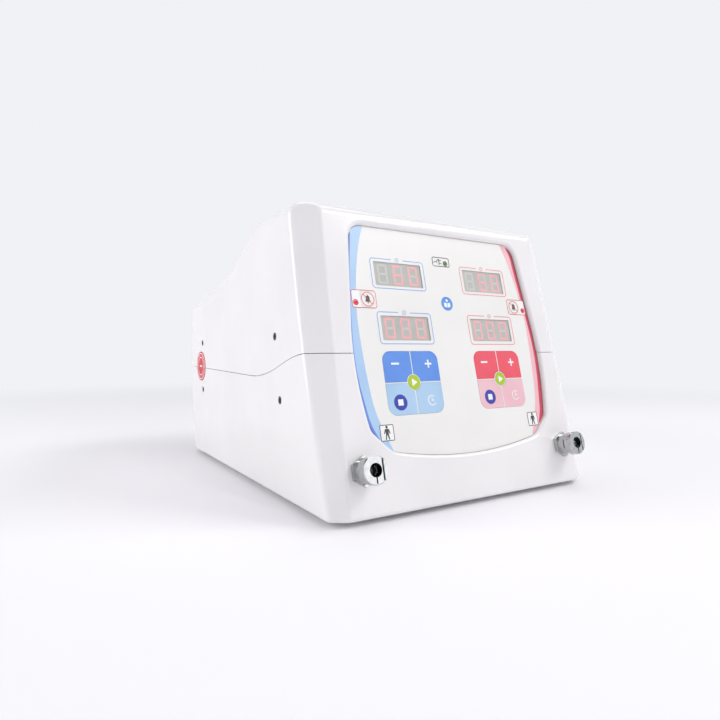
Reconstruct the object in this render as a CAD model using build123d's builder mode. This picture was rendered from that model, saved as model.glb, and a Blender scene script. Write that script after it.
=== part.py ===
from build123d import *
from math import cos, hypot, radians, sin, tan
import os

os.makedirs("parts", exist_ok=True)

# Housing, as measured from its bottom front edge: y runs back, z runs up
rake = 13.82
body_height = 187.5
body_depth = 288.0
half_width = 109.6
bottom_draw_in = 2.0
top_draw_in = 1.4
back_draft_low = 3.5
back_draft_high = 3.0
shoulder_y = 116.7
slope_end_y = 175.3
slope_end_z = 157.7
deck_back_z = 138.3
brow_radius = 10.0
shoulder_radius = 50.0
slope_radius = 90.0
back_top_radius = 15.0
back_waist_radius = 400.0
edge_radius = 10.0
inner_edge_radius = 4.5
wall = 4.0
front_wall = 8.8
facet_top_width = 17.0
facet_low_width = 12.8
facet_setback = 9.5
facet_edge_radius = 5.0
bottom_edge_radius = 2.5
foot_height = 3.0

# Parting line of the two shells, in the side view
seam_front_z = 93.4
seam_front_y = 25.0
seam_middle = (72.0, 83.9)
seam_low = (120.0, 76.8)
seam_back_z = 80.0
seam_gap = 0.4
lip_thickness = 1.6
lip_height = 3.0
lip_root = 4.0
lip_clearance = 0.15
lip_front_y = 48.0

# Front panel on the sloping face: u across, v up the slope. A place on it is measured
# inward from the housing's side and upward from the panel's bottom
panel_top_margin = 12.09
panel_bottom = 30.1
panel_height = 150.9
panel_shoulder_in = 37.2
panel_waist_place = (30.6, 86.9)
panel_hip_place = (34.6, 19.4)
panel_toe_place = (47.6, 6.7)
panel_top_radius = 11.0
panel_hip_radius = 8.0
panel_toe_radius = 12.0
panel_depth = 3.0
overlay_thickness = 0.8
carrier_thickness = 2.0
panel_clearance = 0.3
ledge_width = 6.0
rim_radius = 2.6

# Keys
key_block_place = (71.7, 47.7)
key_block_width = 43.4
key_block_height = 40.2
key_corner_radius = 6.0
key_gap = 0.8
key_clearance = 0.15
key_proud = 0.15
key_thickness = 2.0
key_travel = 0.5
start_radius = 4.65
start_ring = 0.5
stem_radius = 2.0
mute_place = (45.0, 101.5)
mute_width = 10.0
mute_height = 10.4
mute_corner_radius = 2.0
carrier_slot_clearance = 0.4

# Displays, lamps and the board behind the panel
window_in = 71.9
window_rises = (119.4, 83.1)
window_width = 38.0
window_height = 16.2
window_corner_radius = 0.8
window_thickness = 0.7
module_width = 40.2
module_height = 19.0
board_depth = 11.6
board_thickness = 1.6
board_in = 32.6
board_low_rise = 13.9
board_high_rise = 137.9
alarm_lamp_place = (36.0, 99.0)
power_lamp_u = 4.1
power_lamp_rise = 130.9
lamp_radius = 1.4
lamp_clearance = 0.12
lamp_base_radius = 1.9
lamp_base_height = 1.0
switch_size = 6.0
switch_height = 3.5
plunger_radius = 1.75
plunger_height = 0.5
standoff_radius = 2.6
standoff_floor = 1.0
standoff_places = ((45.1, 121.9), (42.6, 72.9), (52.6, 18.9))

# Air couplings
coupling_in = 24.6
coupling_v = 27.4
hex_across_flats = 15.5
hex_height = 2.5
barrel_radius = 7.1
ring_radius = 8.3
ring_base = 8.7
coupling_reach = 13.7
ring_chamfer = 0.5
coupling_flat = 7.5
bore_radius = 3.95
bore_floor = 3.0
flow_radius = 1.3
shank_radius = 5.95
shank_length = 16.0
shank_clearance = 0.08
latch_slot_base = 7.1
latch_slot_half = 5.6
chord = 4.35
latch_travel = 1.0
latch_clearance = 0.1
latch_left_end = 6.0
drain_width = 0.9
drain_reach = 6.9
drain_overlap = 1.0
spring_v = 5.6
spring_height = 11.0
spring_radius = 0.75
spring_wire = 0.3
spring_pocket_floor = 1.0
nut_across_flats = 17.0
nut_height = 4.0
seal_radius = 7.2
seal_height = 1.0
barb_radius = 2.7
barb_neck = 2.3
barb_pitch = 3.2
barb_count = 3

# Fasteners
screw_radius = 1.5
screw_hole_clearance = 0.05
countersink_radius = 2.6
countersink_sink = 0.15
countersink_angle = 90.0
side_screw_length = 7.0
side_screws_front = ((75.3, 103.9), (68.0, 63.2))
side_screws_from_back = ((45.8, 101.2), (45.7, 59.2))
cross_width = 0.7
cross_reach = 1.6
cross_depth = 0.9
pan_head_radius = 2.75
pan_head_height = 2.0
chassis_screw_length = 8.5
spacer_screw_length = 8.0
standoff_screw_length = 5.0
foot_screw_tip_gap = 1.0
joining_plate_thickness = 3.0
joining_plate_margin = 7.0
joining_pocket_margin = 0.5

# Red seal on the left side, across the parting line
label_from_back = 41.3
label_z = 80.2
label_radius = 13.2
label_thickness = 0.25

# Feet and chassis
foot_in = 27.6
foot_from_end = 36.0
foot_radius = 9.0
foot_well_radius = 4.0
foot_well_depth = 2.2
boss_radius = 4.5
chassis_z = 12.0
chassis_thickness = 1.5
chassis_in = 13.6
chassis_front_y = 42.0
chassis_from_back = 14.0
chassis_corner = 5.0
chassis_screw_in = 6.0
chassis_screw_front = 7.0
chassis_screw_middle_y = 140.0

# Air pumps and valves
pump_from_valve = 37.5
pump_width = 34.0
pump_corner = 2.0
pump_front_y = 66.0
pump_head_length = 28.0
motor_radius = 14.0
motor_length = 38.0
motor_edge_radius = 1.5
shaft_radius = 1.5
shaft_clearance = 0.05
shaft_end_gap = 1.0
crank_radius = 5.0
crank_length = 7.5
crank_offset = 2.5
crank_room_radius = 10.0
crank_room_wall = 5.0
crank_end_gap = 1.0
valve_in = 29.6
valve_width = 24.0
valve_front_y = 80.0
valve_length = 36.0
valve_height = 26.0
coil_radius = 7.5
coil_height = 18.0
port_z = 22.0
nipple_radius = 2.0
nipple_y = 86.0
tube_radius = 4.0
tube_bore_clearance = 0.05
tube_bend_radius = 33.0
tube_lead = 17.0
tube_middle_y = 60.0

# Electronics on the chassis
main_board_front_y = 52.0
main_board_back_y = 150.0
main_board_z = 53.5
spacer_from_edge = (4.5, 8.0)
spacer_radius = 3.0
processor_width = 18.0
connector_size = (24.0, 8.0)
connector_back = 30.0
flat_part_height = 3.0
sensor_size = (12.0, 10.0)
sensor_place = (30.0, -20.0)
sensor_nipple_height = 3.0
capacitor_radius = 5.0
capacitor_place = (10.0, 34.0)
tall_part_height = 9.0
block_in = 19.6
supply_width = 58.0
supply_front_y = 147.0
supply_from_back = 44.0
supply_height = 34.0
supply_edge = 2.0
supply_vent_pitch = 8.0
supply_vent_width = 3.0
supply_vent_depth = 2.0
battery_width = 60.0
battery_front_y = 158.0
battery_from_back = 30.0
battery_height = 48.0

# Mains inlet in the back wall
inlet_in = 59.6
inlet_z = 40.0
inlet_width = 48.0
inlet_height = 34.0
inlet_depth = 30.0
inlet_flange = 2.5
inlet_flange_margin = 2.5
inlet_seat_wall = 4.0
inlet_clearance = 0.2
inlet_face_edge = 0.6
socket_offset_x = 8.4
socket_offset_z = -5.6
socket_width = 24.2
socket_height = 16.2
socket_depth = 16.0
socket_corner = 3.0
pin_width = 4.0
pin_thickness = 2.0
pin_length = 10.5
pin_spread = 7.0
pin_drop = 2.0
drawer_offset_z = 9.2
drawer_width = 25.0
drawer_height = 8.6
drawer_length = 20.0
drawer_clearance = 0.15
drawer_end_wall = 1.5
grip_depth = 1.0
fuse_radius = 2.6
fuse_length = 20.0
fuse_pitch = 8.0
fuse_end_gap = 0.5
fuse_clearance = 0.3
fuse_lift = 0.1
rocker_offset_x = -13.6
rocker_width = 13.2
rocker_room_height = 20.6
rocker_half_height = 9.2
rocker_tilt = 10.0
rocker_pivot_depth = 4.0
rocker_pin_radius = 1.2
rocker_pin_reach = 1.8
rocker_skirt = 1.0
rocker_crown = 0.6
rocker_dip = 1.2
vent_count = 7
vent_in = 54.6
vent_z = 38.0
vent_pitch = 7.0
vent_width = 2.4
vent_height = 30.0

# Places that follow from the sizes above
slope = tan(radians(rake))
face_out = (0, -cos(radians(rake)), sin(radians(rake)))
near = 0.01
half_width_bottom = half_width - bottom_draw_in
half_width_top = half_width - top_draw_in
inlet_face_y = body_depth - back_draft_low + inlet_z * back_draft_low / seam_back_z
seat_y = inlet_face_y - inlet_flange
rocker_end = (rocker_pivot_depth + rocker_crown) * cos(radians(rocker_tilt))
rocker_end += rocker_half_height * sin(radians(rocker_tilt))
back_reach = max(body_depth, inlet_face_y - rocker_pivot_depth + rocker_end)
front_reach = coupling_reach * cos(radians(rake))
front_reach += (ring_radius - ring_chamfer - coupling_v) * sin(radians(rake))
front_y = (front_reach - back_reach) / 2
floor_z = foot_height
margin = 12.0
crease_low_u = half_width - facet_low_width
crease_top_u = half_width - facet_top_width
overlay_back = panel_depth + overlay_thickness
ledge_depth = overlay_back + carrier_thickness
key_top = panel_depth - key_proud
key_bottom = key_top + key_thickness
switch_top = board_depth - switch_height - plunger_height
stem_end = switch_top - key_travel - key_clearance
panel_top = body_height / cos(radians(rake)) - panel_top_margin
row_spread = (panel_top - panel_bottom) / panel_height


def on_panel(inward, rise):
    """A place on the right half of the panel, in u and v."""
    return half_width - inward, panel_bottom + rise * row_spread


panel_shoulder_u = half_width - panel_shoulder_in
panel_waist = on_panel(*panel_waist_place)
panel_hip = on_panel(*panel_hip_place)
panel_toe = on_panel(*panel_toe_place)
key_block_u, key_block_v = on_panel(*key_block_place)
mute_u, mute_v = on_panel(*mute_place)
window_u = half_width - window_in
window_v = [on_panel(window_in, rise)[1] for rise in window_rises]
alarm_lamp_u, alarm_lamp_v = on_panel(*alarm_lamp_place)
power_lamp_v = on_panel(0, power_lamp_rise)[1]
board_half_width, board_low_v = on_panel(board_in, board_low_rise)
board_high_v = on_panel(board_in, board_high_rise)[1]
coupling_u = half_width - coupling_in
side_screws_back = tuple((body_depth - y, z) for y, z in side_screws_from_back)
label_y = body_depth - label_from_back
foot_x = half_width - foot_in
chassis_top = chassis_z + chassis_thickness
chassis_half_width = half_width - chassis_in
chassis_back_y = body_depth - chassis_from_back
chassis_screw_x = chassis_half_width - chassis_screw_in
valve_x = half_width - valve_in
pump_x = valve_x - pump_from_valve
main_board_half_width = valve_x - valve_width / 2
supply_length = body_depth - supply_from_back - supply_front_y
supply_x = block_in + supply_width / 2 - half_width
battery_length = body_depth - battery_from_back - battery_front_y
battery_x = half_width - block_in - battery_width / 2
inlet_x = inlet_in - half_width
vent_x = half_width - vent_in

side_plane = Plane(origin=(0, front_y, floor_z), x_dir=(0, 1, 0), z_dir=(1, 0, 0))
outline_plane = Plane(origin=(0, front_y, floor_z), x_dir=(1, 0, 0), z_dir=(0, -1, 0))
ground_plane = Plane(origin=(0, front_y, floor_z), x_dir=(1, 0, 0), z_dir=(0, 0, 1))
face_plane = Plane(origin=(0, front_y, floor_z), x_dir=(1, 0, 0), z_dir=face_out)
back_plane = Plane(origin=(0, front_y, floor_z), x_dir=(-1, 0, 0), z_dir=(0, 1, 0))


def side_reach(z):
    """Half width of the housing at a height, from its bottom, middle and top values."""
    low = half_width_bottom * (z - seam_back_z) * (z - body_height) / (seam_back_z * body_height)
    middle = half_width * z * (body_height - z) / (seam_back_z * (body_height - seam_back_z))
    high = half_width_top * z * (z - seam_back_z) / (body_height * (body_height - seam_back_z))
    return low + middle + high


def side_arc(side, inset):
    """The crowned side of the housing in the front view, from bottom to top."""
    return ThreePointArc(
        (side * (half_width_bottom - inset), 0),
        (side * (half_width - inset), seam_back_z),
        (side * (half_width_top - inset), body_height),
    )


def corner_at(sketch, y, z):
    """The corner of a side view nearest to a place."""
    return min(sketch.vertices(), key=lambda corner: hypot(corner.X - y, corner.Y - z))


def housing_form(inset, radius):
    """The housing's form, drawn in by an inset, with its long edges rounded."""
    with BuildPart() as form:
        with BuildSketch(side_plane) as profile:
            with BuildLine():
                Polyline(
                    (0, 0),
                    (body_height * slope, body_height),
                    (shoulder_y, body_height),
                    (slope_end_y, slope_end_z),
                    (body_depth - back_draft_high, deck_back_z),
                    (body_depth, seam_back_z),
                    (body_depth - back_draft_low, 0),
                    close=True,
                )
            make_face()
            fillet(corner_at(profile, body_height * slope, body_height), radius=brow_radius)
            fillet(corner_at(profile, shoulder_y, body_height), radius=shoulder_radius)
            fillet(corner_at(profile, slope_end_y, slope_end_z), radius=slope_radius)
            fillet(corner_at(profile, body_depth - back_draft_high, deck_back_z), radius=back_top_radius)
            fillet(corner_at(profile, body_depth, seam_back_z), radius=back_waist_radius)
            if inset:
                offset(amount=-inset)
        extrude(amount=half_width + margin, both=True)
        with BuildSketch(outline_plane):
            with BuildLine():
                left = side_arc(-1, inset)
                right = side_arc(1, inset)
                Line(left @ 0, right @ 0)
                Line(left @ 1, right @ 1)
            make_face()
        extrude(amount=-(body_depth + margin), mode=Mode.INTERSECT)
        bottom_z = floor_z + inset
        side_x = half_width_bottom - inset - edge_radius
        long_edges = form.edges().filter_by(
            lambda edge: abs(edge.center().X) > side_x
            and edge.bounding_box().size.X < edge_radius
            and edge.bounding_box().max.Z > bottom_z + edge_radius
        )
        fillet(long_edges, radius=radius)
    return form.part


def seam_block(rise, far_z):
    """Everything between the parting line, raised by a step, and a far height."""
    with BuildPart() as block:
        with BuildSketch(side_plane):
            with BuildLine():
                front = Line((-margin, seam_front_z + rise), (seam_front_y, seam_front_z + rise))
                back = Line(
                    (seam_low[0], seam_low[1] + rise),
                    (body_depth + margin, seam_back_z + rise),
                )
                Spline(
                    front @ 1,
                    (seam_middle[0], seam_middle[1] + rise),
                    back @ 0,
                    tangents=(front % 1, back % 0),
                )
                Polyline(back @ 1, (body_depth + margin, far_z), (-margin, far_z), front @ 0)
            make_face()
        extrude(amount=half_width + margin, both=True)
    return block.part


def below_seam(rise):
    """Everything under the parting line, raised by a step."""
    return seam_block(rise, -margin)


def above_seam(rise):
    """Everything over the parting line, raised by a step."""
    return seam_block(rise, body_height + margin)


def behind_face(shape, depth):
    """The share of a solid that lies deeper than a distance behind the sloping face."""
    with BuildPart() as rest:
        add(shape)
        split(bisect_by=face_plane.offset(-depth), keep=Keep.BOTTOM)
    return rest.part


def panel_outline(grow=0):
    """Outline of the front panel, in u and v."""
    with BuildSketch() as outline:
        with BuildLine():
            upper = Line((panel_shoulder_u, panel_top), panel_waist)
            lower = TangentArc(upper @ 1, panel_hip, tangent=upper % 1)
            hip = Line(lower @ 1, panel_toe)
            ThreePointArc(hip @ 1, (0, panel_bottom), (-panel_toe[0], panel_toe[1]))
            mirror([lower, hip], about=Plane.YZ)
            mirror(upper, about=Plane.YZ)
            Line((-panel_shoulder_u, panel_top), upper @ 0)
        make_face()
        for side in (-1, 1):
            fillet(corner_at(outline, side * panel_shoulder_u, panel_top), radius=panel_top_radius)
            fillet(corner_at(outline, side * panel_hip[0], panel_hip[1]), radius=panel_hip_radius)
            fillet(corner_at(outline, side * panel_toe[0], panel_toe[1]), radius=panel_toe_radius)
        if grow:
            offset(amount=grow)
    return outline.sketch


def quarter_key(side, column, row, grow=0):
    """One of the four corner keys of a block, with its round bite for the start key."""
    width = (key_block_width - key_gap) / 2
    height = (key_block_height - key_gap) / 2
    centre_u = side * key_block_u + column * (key_gap + width) / 2
    centre_v = key_block_v + row * (key_gap + height) / 2
    with BuildSketch() as key:
        with Locations((centre_u, centre_v)):
            Rectangle(width, height)
        outer = (centre_u + column * width / 2, centre_v + row * height / 2)
        fillet(corner_at(key, *outer), radius=key_corner_radius)
        with Locations((side * key_block_u, key_block_v)):
            Circle(start_radius + start_ring + 2 * key_clearance, mode=Mode.SUBTRACT)
        if grow:
            offset(amount=grow)
    return key.sketch, (centre_u, centre_v)


def round_key(side, grow=0):
    """The round start key in the middle of a block."""
    with BuildSketch() as key:
        with Locations((side * key_block_u, key_block_v)):
            Circle(start_radius + grow)
    return key.sketch, (side * key_block_u, key_block_v)


def mute_key(side, grow=0):
    """The key that silences the alarm of one side."""
    with BuildSketch() as key:
        with Locations((side * mute_u, mute_v)):
            RectangleRounded(mute_width + 2 * grow, mute_height + 2 * grow, mute_corner_radius + grow)
    return key.sketch, (side * mute_u, mute_v)


def all_keys(grow=0):
    """Every key by name, as its sketch and the place of its stem."""
    keys = {}
    for side, hand in ((-1, "left"), (1, "right")):
        keys[f"key_minus_{hand}"] = quarter_key(side, -1, 1, grow)
        keys[f"key_plus_{hand}"] = quarter_key(side, 1, 1, grow)
        keys[f"key_stop_{hand}"] = quarter_key(side, -1, -1, grow)
        keys[f"key_timer_{hand}"] = quarter_key(side, 1, -1, grow)
        keys[f"key_start_{hand}"] = round_key(side, grow)
        keys[f"key_mute_{hand}"] = mute_key(side, grow)
    return keys


def lamp_places():
    """The three lamps: two alarms and the mains lamp."""
    return [(-alarm_lamp_u, alarm_lamp_v), (alarm_lamp_u, alarm_lamp_v), (power_lamp_u, power_lamp_v)]


def window_places():
    """Centres of the four display windows."""
    return [(side * window_u, v) for side in (-1, 1) for v in window_v]


def coupling_plane(side):
    """Seat of a coupling on the sloping face, with z pointing out of it."""
    seat = face_plane.from_local_coords(Vector(side * coupling_u, coupling_v, 0))
    return Plane(origin=seat, x_dir=(1, 0, 0), z_dir=face_out)


def side_screw_planes():
    """Planes of the eight side screws, with z pointing out of the housing."""
    planes = []
    for side in (-1, 1):
        for y, z in side_screws_front + side_screws_back:
            origin = (side * side_reach(z), front_y + y, floor_z + z)
            planes.append(Plane(origin=origin, x_dir=(0, 1, 0), z_dir=(side, 0, 0)))
    return planes


def standoff_spots():
    """Places of the panel's standoffs, on both sides."""
    spots = [on_panel(*place) for place in standoff_places]
    return [(side * u, v) for side in (-1, 1) for u, v in spots]


def chassis_spots():
    """Places of the chassis screws, seen from above."""
    front = chassis_front_y + chassis_screw_front
    back = chassis_back_y - chassis_screw_in
    return [(side * chassis_screw_x, y) for side in (-1, 1) for y in (front, chassis_screw_middle_y, back)]


def foot_spots():
    """Places of the feet, seen from above."""
    return [(side * foot_x, y) for side in (-1, 1) for y in (foot_from_end, body_depth - foot_from_end)]


def spacer_spots():
    """Places of the main board's spacers, seen from above."""
    spacer_x = main_board_half_width - spacer_from_edge[0]
    spacer_y = (main_board_front_y + spacer_from_edge[1], main_board_back_y - spacer_from_edge[1])
    return [(side * spacer_x, y) for side in (-1, 1) for y in spacer_y]


# What a countersunk side screw needs cut away, from outside the housing to behind its wall
with BuildPart() as side_screw_cutter:
    hole_radius = screw_radius + screw_hole_clearance
    sink_radius = countersink_radius + countersink_sink + screw_hole_clearance
    sink_depth = (sink_radius - hole_radius) / tan(radians(countersink_angle / 2))
    with BuildSketch(Plane.XZ):
        with BuildLine():
            Polyline(
                (0, wall),
                (sink_radius, wall),
                (sink_radius, 0),
                (hole_radius, -sink_depth),
                (hole_radius, -2 * wall),
                (0, -2 * wall),
                close=True,
            )
        make_face()
    revolve(axis=Axis.Z)

# Both shells as one hollow body, before the parting line divides it
with BuildPart() as housing:
    add(housing_form(0, edge_radius))
    for side in (-1, 1):
        crease_low = face_plane.from_local_coords(Vector(side * crease_low_u, 0, 0))
        crease_top = face_plane.from_local_coords(Vector(side * crease_top_u, panel_top, 0))
        across = Vector(side * (facet_low_width + facet_top_width) / 2, 0, 0)
        across -= face_plane.z_dir * facet_setback
        outward = across.cross(crease_top - crease_low) * side
        split(bisect_by=Plane(origin=crease_low, z_dir=outward), keep=Keep.BOTTOM)
    facets = housing.faces().filter_by(GeomType.PLANE).filter_by(
        lambda face: face.normal_at().Y < -0.3 and abs(face.normal_at().X) > 0.3
    )
    facet_edges = facets.edges().filter_by(lambda edge: edge.bounding_box().max.Z > floor_z + near)
    fillet(facet_edges, radius=facet_edge_radius)
    low_edges = housing.edges().filter_by(lambda edge: edge.bounding_box().max.Z < floor_z + near)
    fillet(low_edges, radius=bottom_edge_radius)

    # Recess of the front panel with its soft rim
    with BuildSketch(face_plane):
        add(panel_outline(panel_clearance))
    extrude(amount=-ledge_depth, mode=Mode.SUBTRACT)
    rim = housing.edges().filter_by(
        lambda edge: abs(face_plane.to_local_coords(edge.center()).Z) < near
        and abs(face_plane.to_local_coords(edge.center()).X) < crease_top_u - facet_edge_radius
        and face_plane.to_local_coords(edge.center()).Y > panel_bottom - ledge_width
        and face_plane.to_local_coords(edge.center()).Y < panel_top + ledge_width
    )
    fillet(rim, radius=rim_radius)

    # Hollow, panel opening, coupling holes and side screw holes
    add(behind_face(housing_form(wall, inner_edge_radius), front_wall), mode=Mode.SUBTRACT)
    with BuildSketch(face_plane.offset(-ledge_depth)):
        add(panel_outline(-ledge_width))
        with Locations(*lamp_places()[:2]):
            Circle(lamp_base_radius + carrier_slot_clearance)
    extrude(amount=-front_wall, mode=Mode.SUBTRACT)
    for side in (-1, 1):
        with BuildSketch(coupling_plane(side)):
            Circle(shank_radius + shank_clearance)
        extrude(amount=-2 * front_wall, mode=Mode.SUBTRACT)
    with Locations(*side_screw_planes()):
        add(side_screw_cutter.part, mode=Mode.SUBTRACT)

# Upper shell
with BuildPart() as upper_shell:
    add(housing.part)
    add(below_seam(seam_gap / 2), mode=Mode.SUBTRACT)
upper_shell.part.label = "upper_shell"
export_step(upper_shell.part, "parts/upper_shell.step")

# Joining plates behind the side screws, which hold the two shells together
with BuildPart() as joining_plates:
    for side in (-1, 1):
        for pair in (side_screws_front, side_screws_back):
            middle_y = (pair[0][0] + pair[1][0]) / 2
            middle_z = (pair[0][1] + pair[1][1]) / 2
            tall = pair[0][1] - pair[1][1] + 2 * joining_plate_margin
            wide = abs(pair[0][0] - pair[1][0]) + 2 * joining_plate_margin
            plate_x = min(side_reach(pair[0][1]), side_reach(pair[1][1])) - wall - lip_clearance
            plate_plane = Plane(
                origin=(side * plate_x, front_y + middle_y, floor_z + middle_z),
                x_dir=(0, 1, 0),
                z_dir=(-side, 0, 0),
            )
            with BuildSketch(plate_plane):
                RectangleRounded(wide, tall, boss_radius / 2)
            extrude(amount=joining_plate_thickness)
    for place in side_screw_planes():
        with BuildSketch(place):
            Circle(screw_radius + screw_hole_clearance)
        extrude(amount=-side_screw_length - wall, mode=Mode.SUBTRACT)
joining_plates.part.label = "joining_plates"
export_step(joining_plates.part, "parts/joining_plates.step")

# Lower shell, with the lip that backs the parting line, bosses and the inlet's seat
with BuildPart() as lip:
    add(housing_form(wall + lip_clearance, inner_edge_radius))
    add(housing_form(wall + lip_clearance + lip_thickness, inner_edge_radius), mode=Mode.SUBTRACT)
    add(above_seam(lip_height), mode=Mode.SUBTRACT)
    add(below_seam(-lip_root), mode=Mode.SUBTRACT)
    with BuildSketch(side_plane):
        with Locations((lip_front_y - body_depth / 2, body_height / 2)):
            Rectangle(body_depth, 2 * body_height)
    extrude(amount=half_width, both=True, mode=Mode.SUBTRACT)

with BuildPart() as lip_bridge:
    add(housing_form(wall / 2, inner_edge_radius))
    add(housing_form(wall + lip_clearance + lip_thickness / 2, inner_edge_radius), mode=Mode.SUBTRACT)
    add(above_seam(-seam_gap), mode=Mode.SUBTRACT)
    add(below_seam(-lip_root), mode=Mode.SUBTRACT)
    with BuildSketch(side_plane):
        with Locations((lip_front_y - body_depth / 2, body_height / 2)):
            Rectangle(body_depth, 2 * body_height)
    extrude(amount=half_width, both=True, mode=Mode.SUBTRACT)

with BuildPart() as lower_shell:
    add(housing.part)
    add(above_seam(-seam_gap / 2), mode=Mode.SUBTRACT)
    add(lip.part)
    add(lip_bridge.part)
    with BuildSketch(ground_plane.offset(wall / 2)):
        with Locations(*foot_spots(), *chassis_spots()):
            Circle(boss_radius)
    extrude(amount=chassis_z - wall / 2)
    with BuildSketch(back_plane.offset(seat_y)):
        with Locations((-inlet_x, inlet_z)):
            RectangleRounded(inlet_width + 5 * inlet_flange, inlet_height + 4 * inlet_flange, inlet_flange)
    extrude(amount=-inlet_seat_wall)
    with BuildSketch(back_plane.offset(seat_y)):
        with Locations((-inlet_x, inlet_z)):
            RectangleRounded(
                inlet_width + 2 * inlet_flange_margin + 2 * inlet_clearance,
                inlet_height + 2 * inlet_flange_margin + 2 * inlet_clearance,
                inlet_flange_margin,
            )
    extrude(amount=margin, mode=Mode.SUBTRACT)
    with BuildSketch(back_plane.offset(seat_y)):
        with Locations((-inlet_x, inlet_z)):
            Rectangle(inlet_width + 2 * inlet_clearance, inlet_height + 2 * inlet_clearance)
    extrude(amount=-margin, mode=Mode.SUBTRACT)
    with BuildSketch(back_plane.offset(seat_y - margin)):
        with Locations((-vent_x, vent_z)):
            with GridLocations(vent_pitch, 0, vent_count, 1):
                SlotOverall(vent_height, vent_width, rotation=90)
    extrude(amount=2 * margin, mode=Mode.SUBTRACT)
    with BuildSketch(ground_plane):
        with Locations(*foot_spots()):
            Circle(screw_radius + screw_hole_clearance)
    extrude(amount=chassis_z, mode=Mode.SUBTRACT)
    with BuildSketch(ground_plane.offset(wall)):
        with Locations(*chassis_spots()):
            Circle(screw_radius + screw_hole_clearance)
    extrude(amount=chassis_z, mode=Mode.SUBTRACT)
    for side in (-1, 1):
        for pair in (side_screws_front, side_screws_back):
            with BuildSketch(side_plane.offset(side * (half_width - wall))):
                with Locations(((pair[0][0] + pair[1][0]) / 2, (pair[0][1] + pair[1][1]) / 2)):
                    pocket_margin = joining_plate_margin + joining_pocket_margin
                    wide = abs(pair[0][0] - pair[1][0]) + 2 * pocket_margin
                    Rectangle(wide, pair[0][1] - pair[1][1] + 2 * pocket_margin)
            extrude(amount=-side * (joining_plate_thickness + wall), mode=Mode.SUBTRACT)
lower_shell.part.label = "lower_shell"
export_step(lower_shell.part, "parts/lower_shell.step")

# Panel overlay, a printed sheet with holes for keys, windows and lamps
with BuildPart() as overlay:
    with BuildSketch(face_plane.offset(-overlay_back)):
        add(panel_outline())
        for key, stem in all_keys(key_clearance).values():
            add(key, mode=Mode.SUBTRACT)
        with Locations(*window_places()):
            RectangleRounded(window_width, window_height, window_corner_radius, mode=Mode.SUBTRACT)
        with Locations(*lamp_places()):
            Circle(lamp_radius + lamp_clearance, mode=Mode.SUBTRACT)
    extrude(amount=overlay_thickness)
overlay.part.label = "overlay"
export_step(overlay.part, "parts/overlay.step")

# Carrier plate behind the overlay
with BuildPart() as panel_carrier:
    with BuildSketch(face_plane.offset(-ledge_depth)):
        add(panel_outline())
        for side in (-1, 1):
            with Locations((side * key_block_u, key_block_v)):
                RectangleRounded(
                    key_block_width + 2 * carrier_slot_clearance,
                    key_block_height + 2 * carrier_slot_clearance,
                    key_corner_radius + carrier_slot_clearance,
                    mode=Mode.SUBTRACT,
                )
            add(mute_key(side, carrier_slot_clearance)[0], mode=Mode.SUBTRACT)
        with Locations(*window_places()):
            Rectangle(
                module_width + 2 * carrier_slot_clearance,
                module_height + 2 * carrier_slot_clearance,
                mode=Mode.SUBTRACT,
            )
        with Locations(*lamp_places()):
            Circle(lamp_radius + lamp_clearance, mode=Mode.SUBTRACT)
    extrude(amount=carrier_thickness)
panel_carrier.part.label = "panel_carrier"
export_step(panel_carrier.part, "parts/panel_carrier.step")

# Standoffs between the carrier and the display board
with BuildPart() as panel_standoffs:
    with BuildSketch(face_plane.offset(-board_depth)):
        with Locations(*standoff_spots()):
            RegularPolygon(radius=standoff_radius, side_count=6, major_radius=False)
    extrude(amount=board_depth - ledge_depth)
    with BuildSketch(face_plane.offset(-board_depth)):
        with Locations(*standoff_spots()):
            Circle(screw_radius + screw_hole_clearance)
    extrude(amount=board_depth - ledge_depth - standoff_floor, mode=Mode.SUBTRACT)
panel_standoffs.part.label = "panel_standoffs"
export_step(panel_standoffs.part, "parts/panel_standoffs.step")

# Display board
with BuildPart() as display_board:
    with BuildSketch(face_plane.offset(-board_depth - board_thickness)):
        with Locations((0, (board_low_v + board_high_v) / 2)):
            RectangleRounded(2 * board_half_width, board_high_v - board_low_v, boss_radius)
        with Locations(*standoff_spots()):
            Circle(screw_radius + screw_hole_clearance, mode=Mode.SUBTRACT)
    extrude(amount=board_thickness)
    with BuildSketch(face_plane.offset(-board_depth - board_thickness)):
        with Locations((0, key_block_v)):
            Rectangle(switch_size, key_block_height)
        with Locations(*window_places()):
            Rectangle(module_width / 2, switch_size)
    extrude(amount=-switch_height)
display_board.part.label = "display_board"
export_step(display_board.part, "parts/display_board.step")

# Key switches on the board, one under each key
with BuildPart() as key_switches:
    with BuildSketch(face_plane.offset(-board_depth)):
        for key, stem in all_keys().values():
            with Locations(stem):
                RectangleRounded(switch_size, switch_size, plunger_height)
    extrude(amount=switch_height)
    with BuildSketch(face_plane.offset(switch_height - board_depth)):
        for key, stem in all_keys().values():
            with Locations(stem):
                Circle(plunger_radius)
    extrude(amount=plunger_height)
key_switches.part.label = "key_switches"
export_step(key_switches.part, "parts/key_switches.step")

# Keys, each a printed cap on a stem
for name, (outline, stem) in all_keys().items():
    with BuildPart() as key:
        with BuildSketch(face_plane.offset(-key_bottom)):
            add(outline)
        extrude(amount=key_thickness)
        with BuildSketch(face_plane.offset(-key_bottom)):
            with Locations(stem):
                Circle(stem_radius)
        extrude(amount=key_bottom - stem_end)
    key.part.label = name
    export_step(key.part, f"parts/{name}.step")

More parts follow.
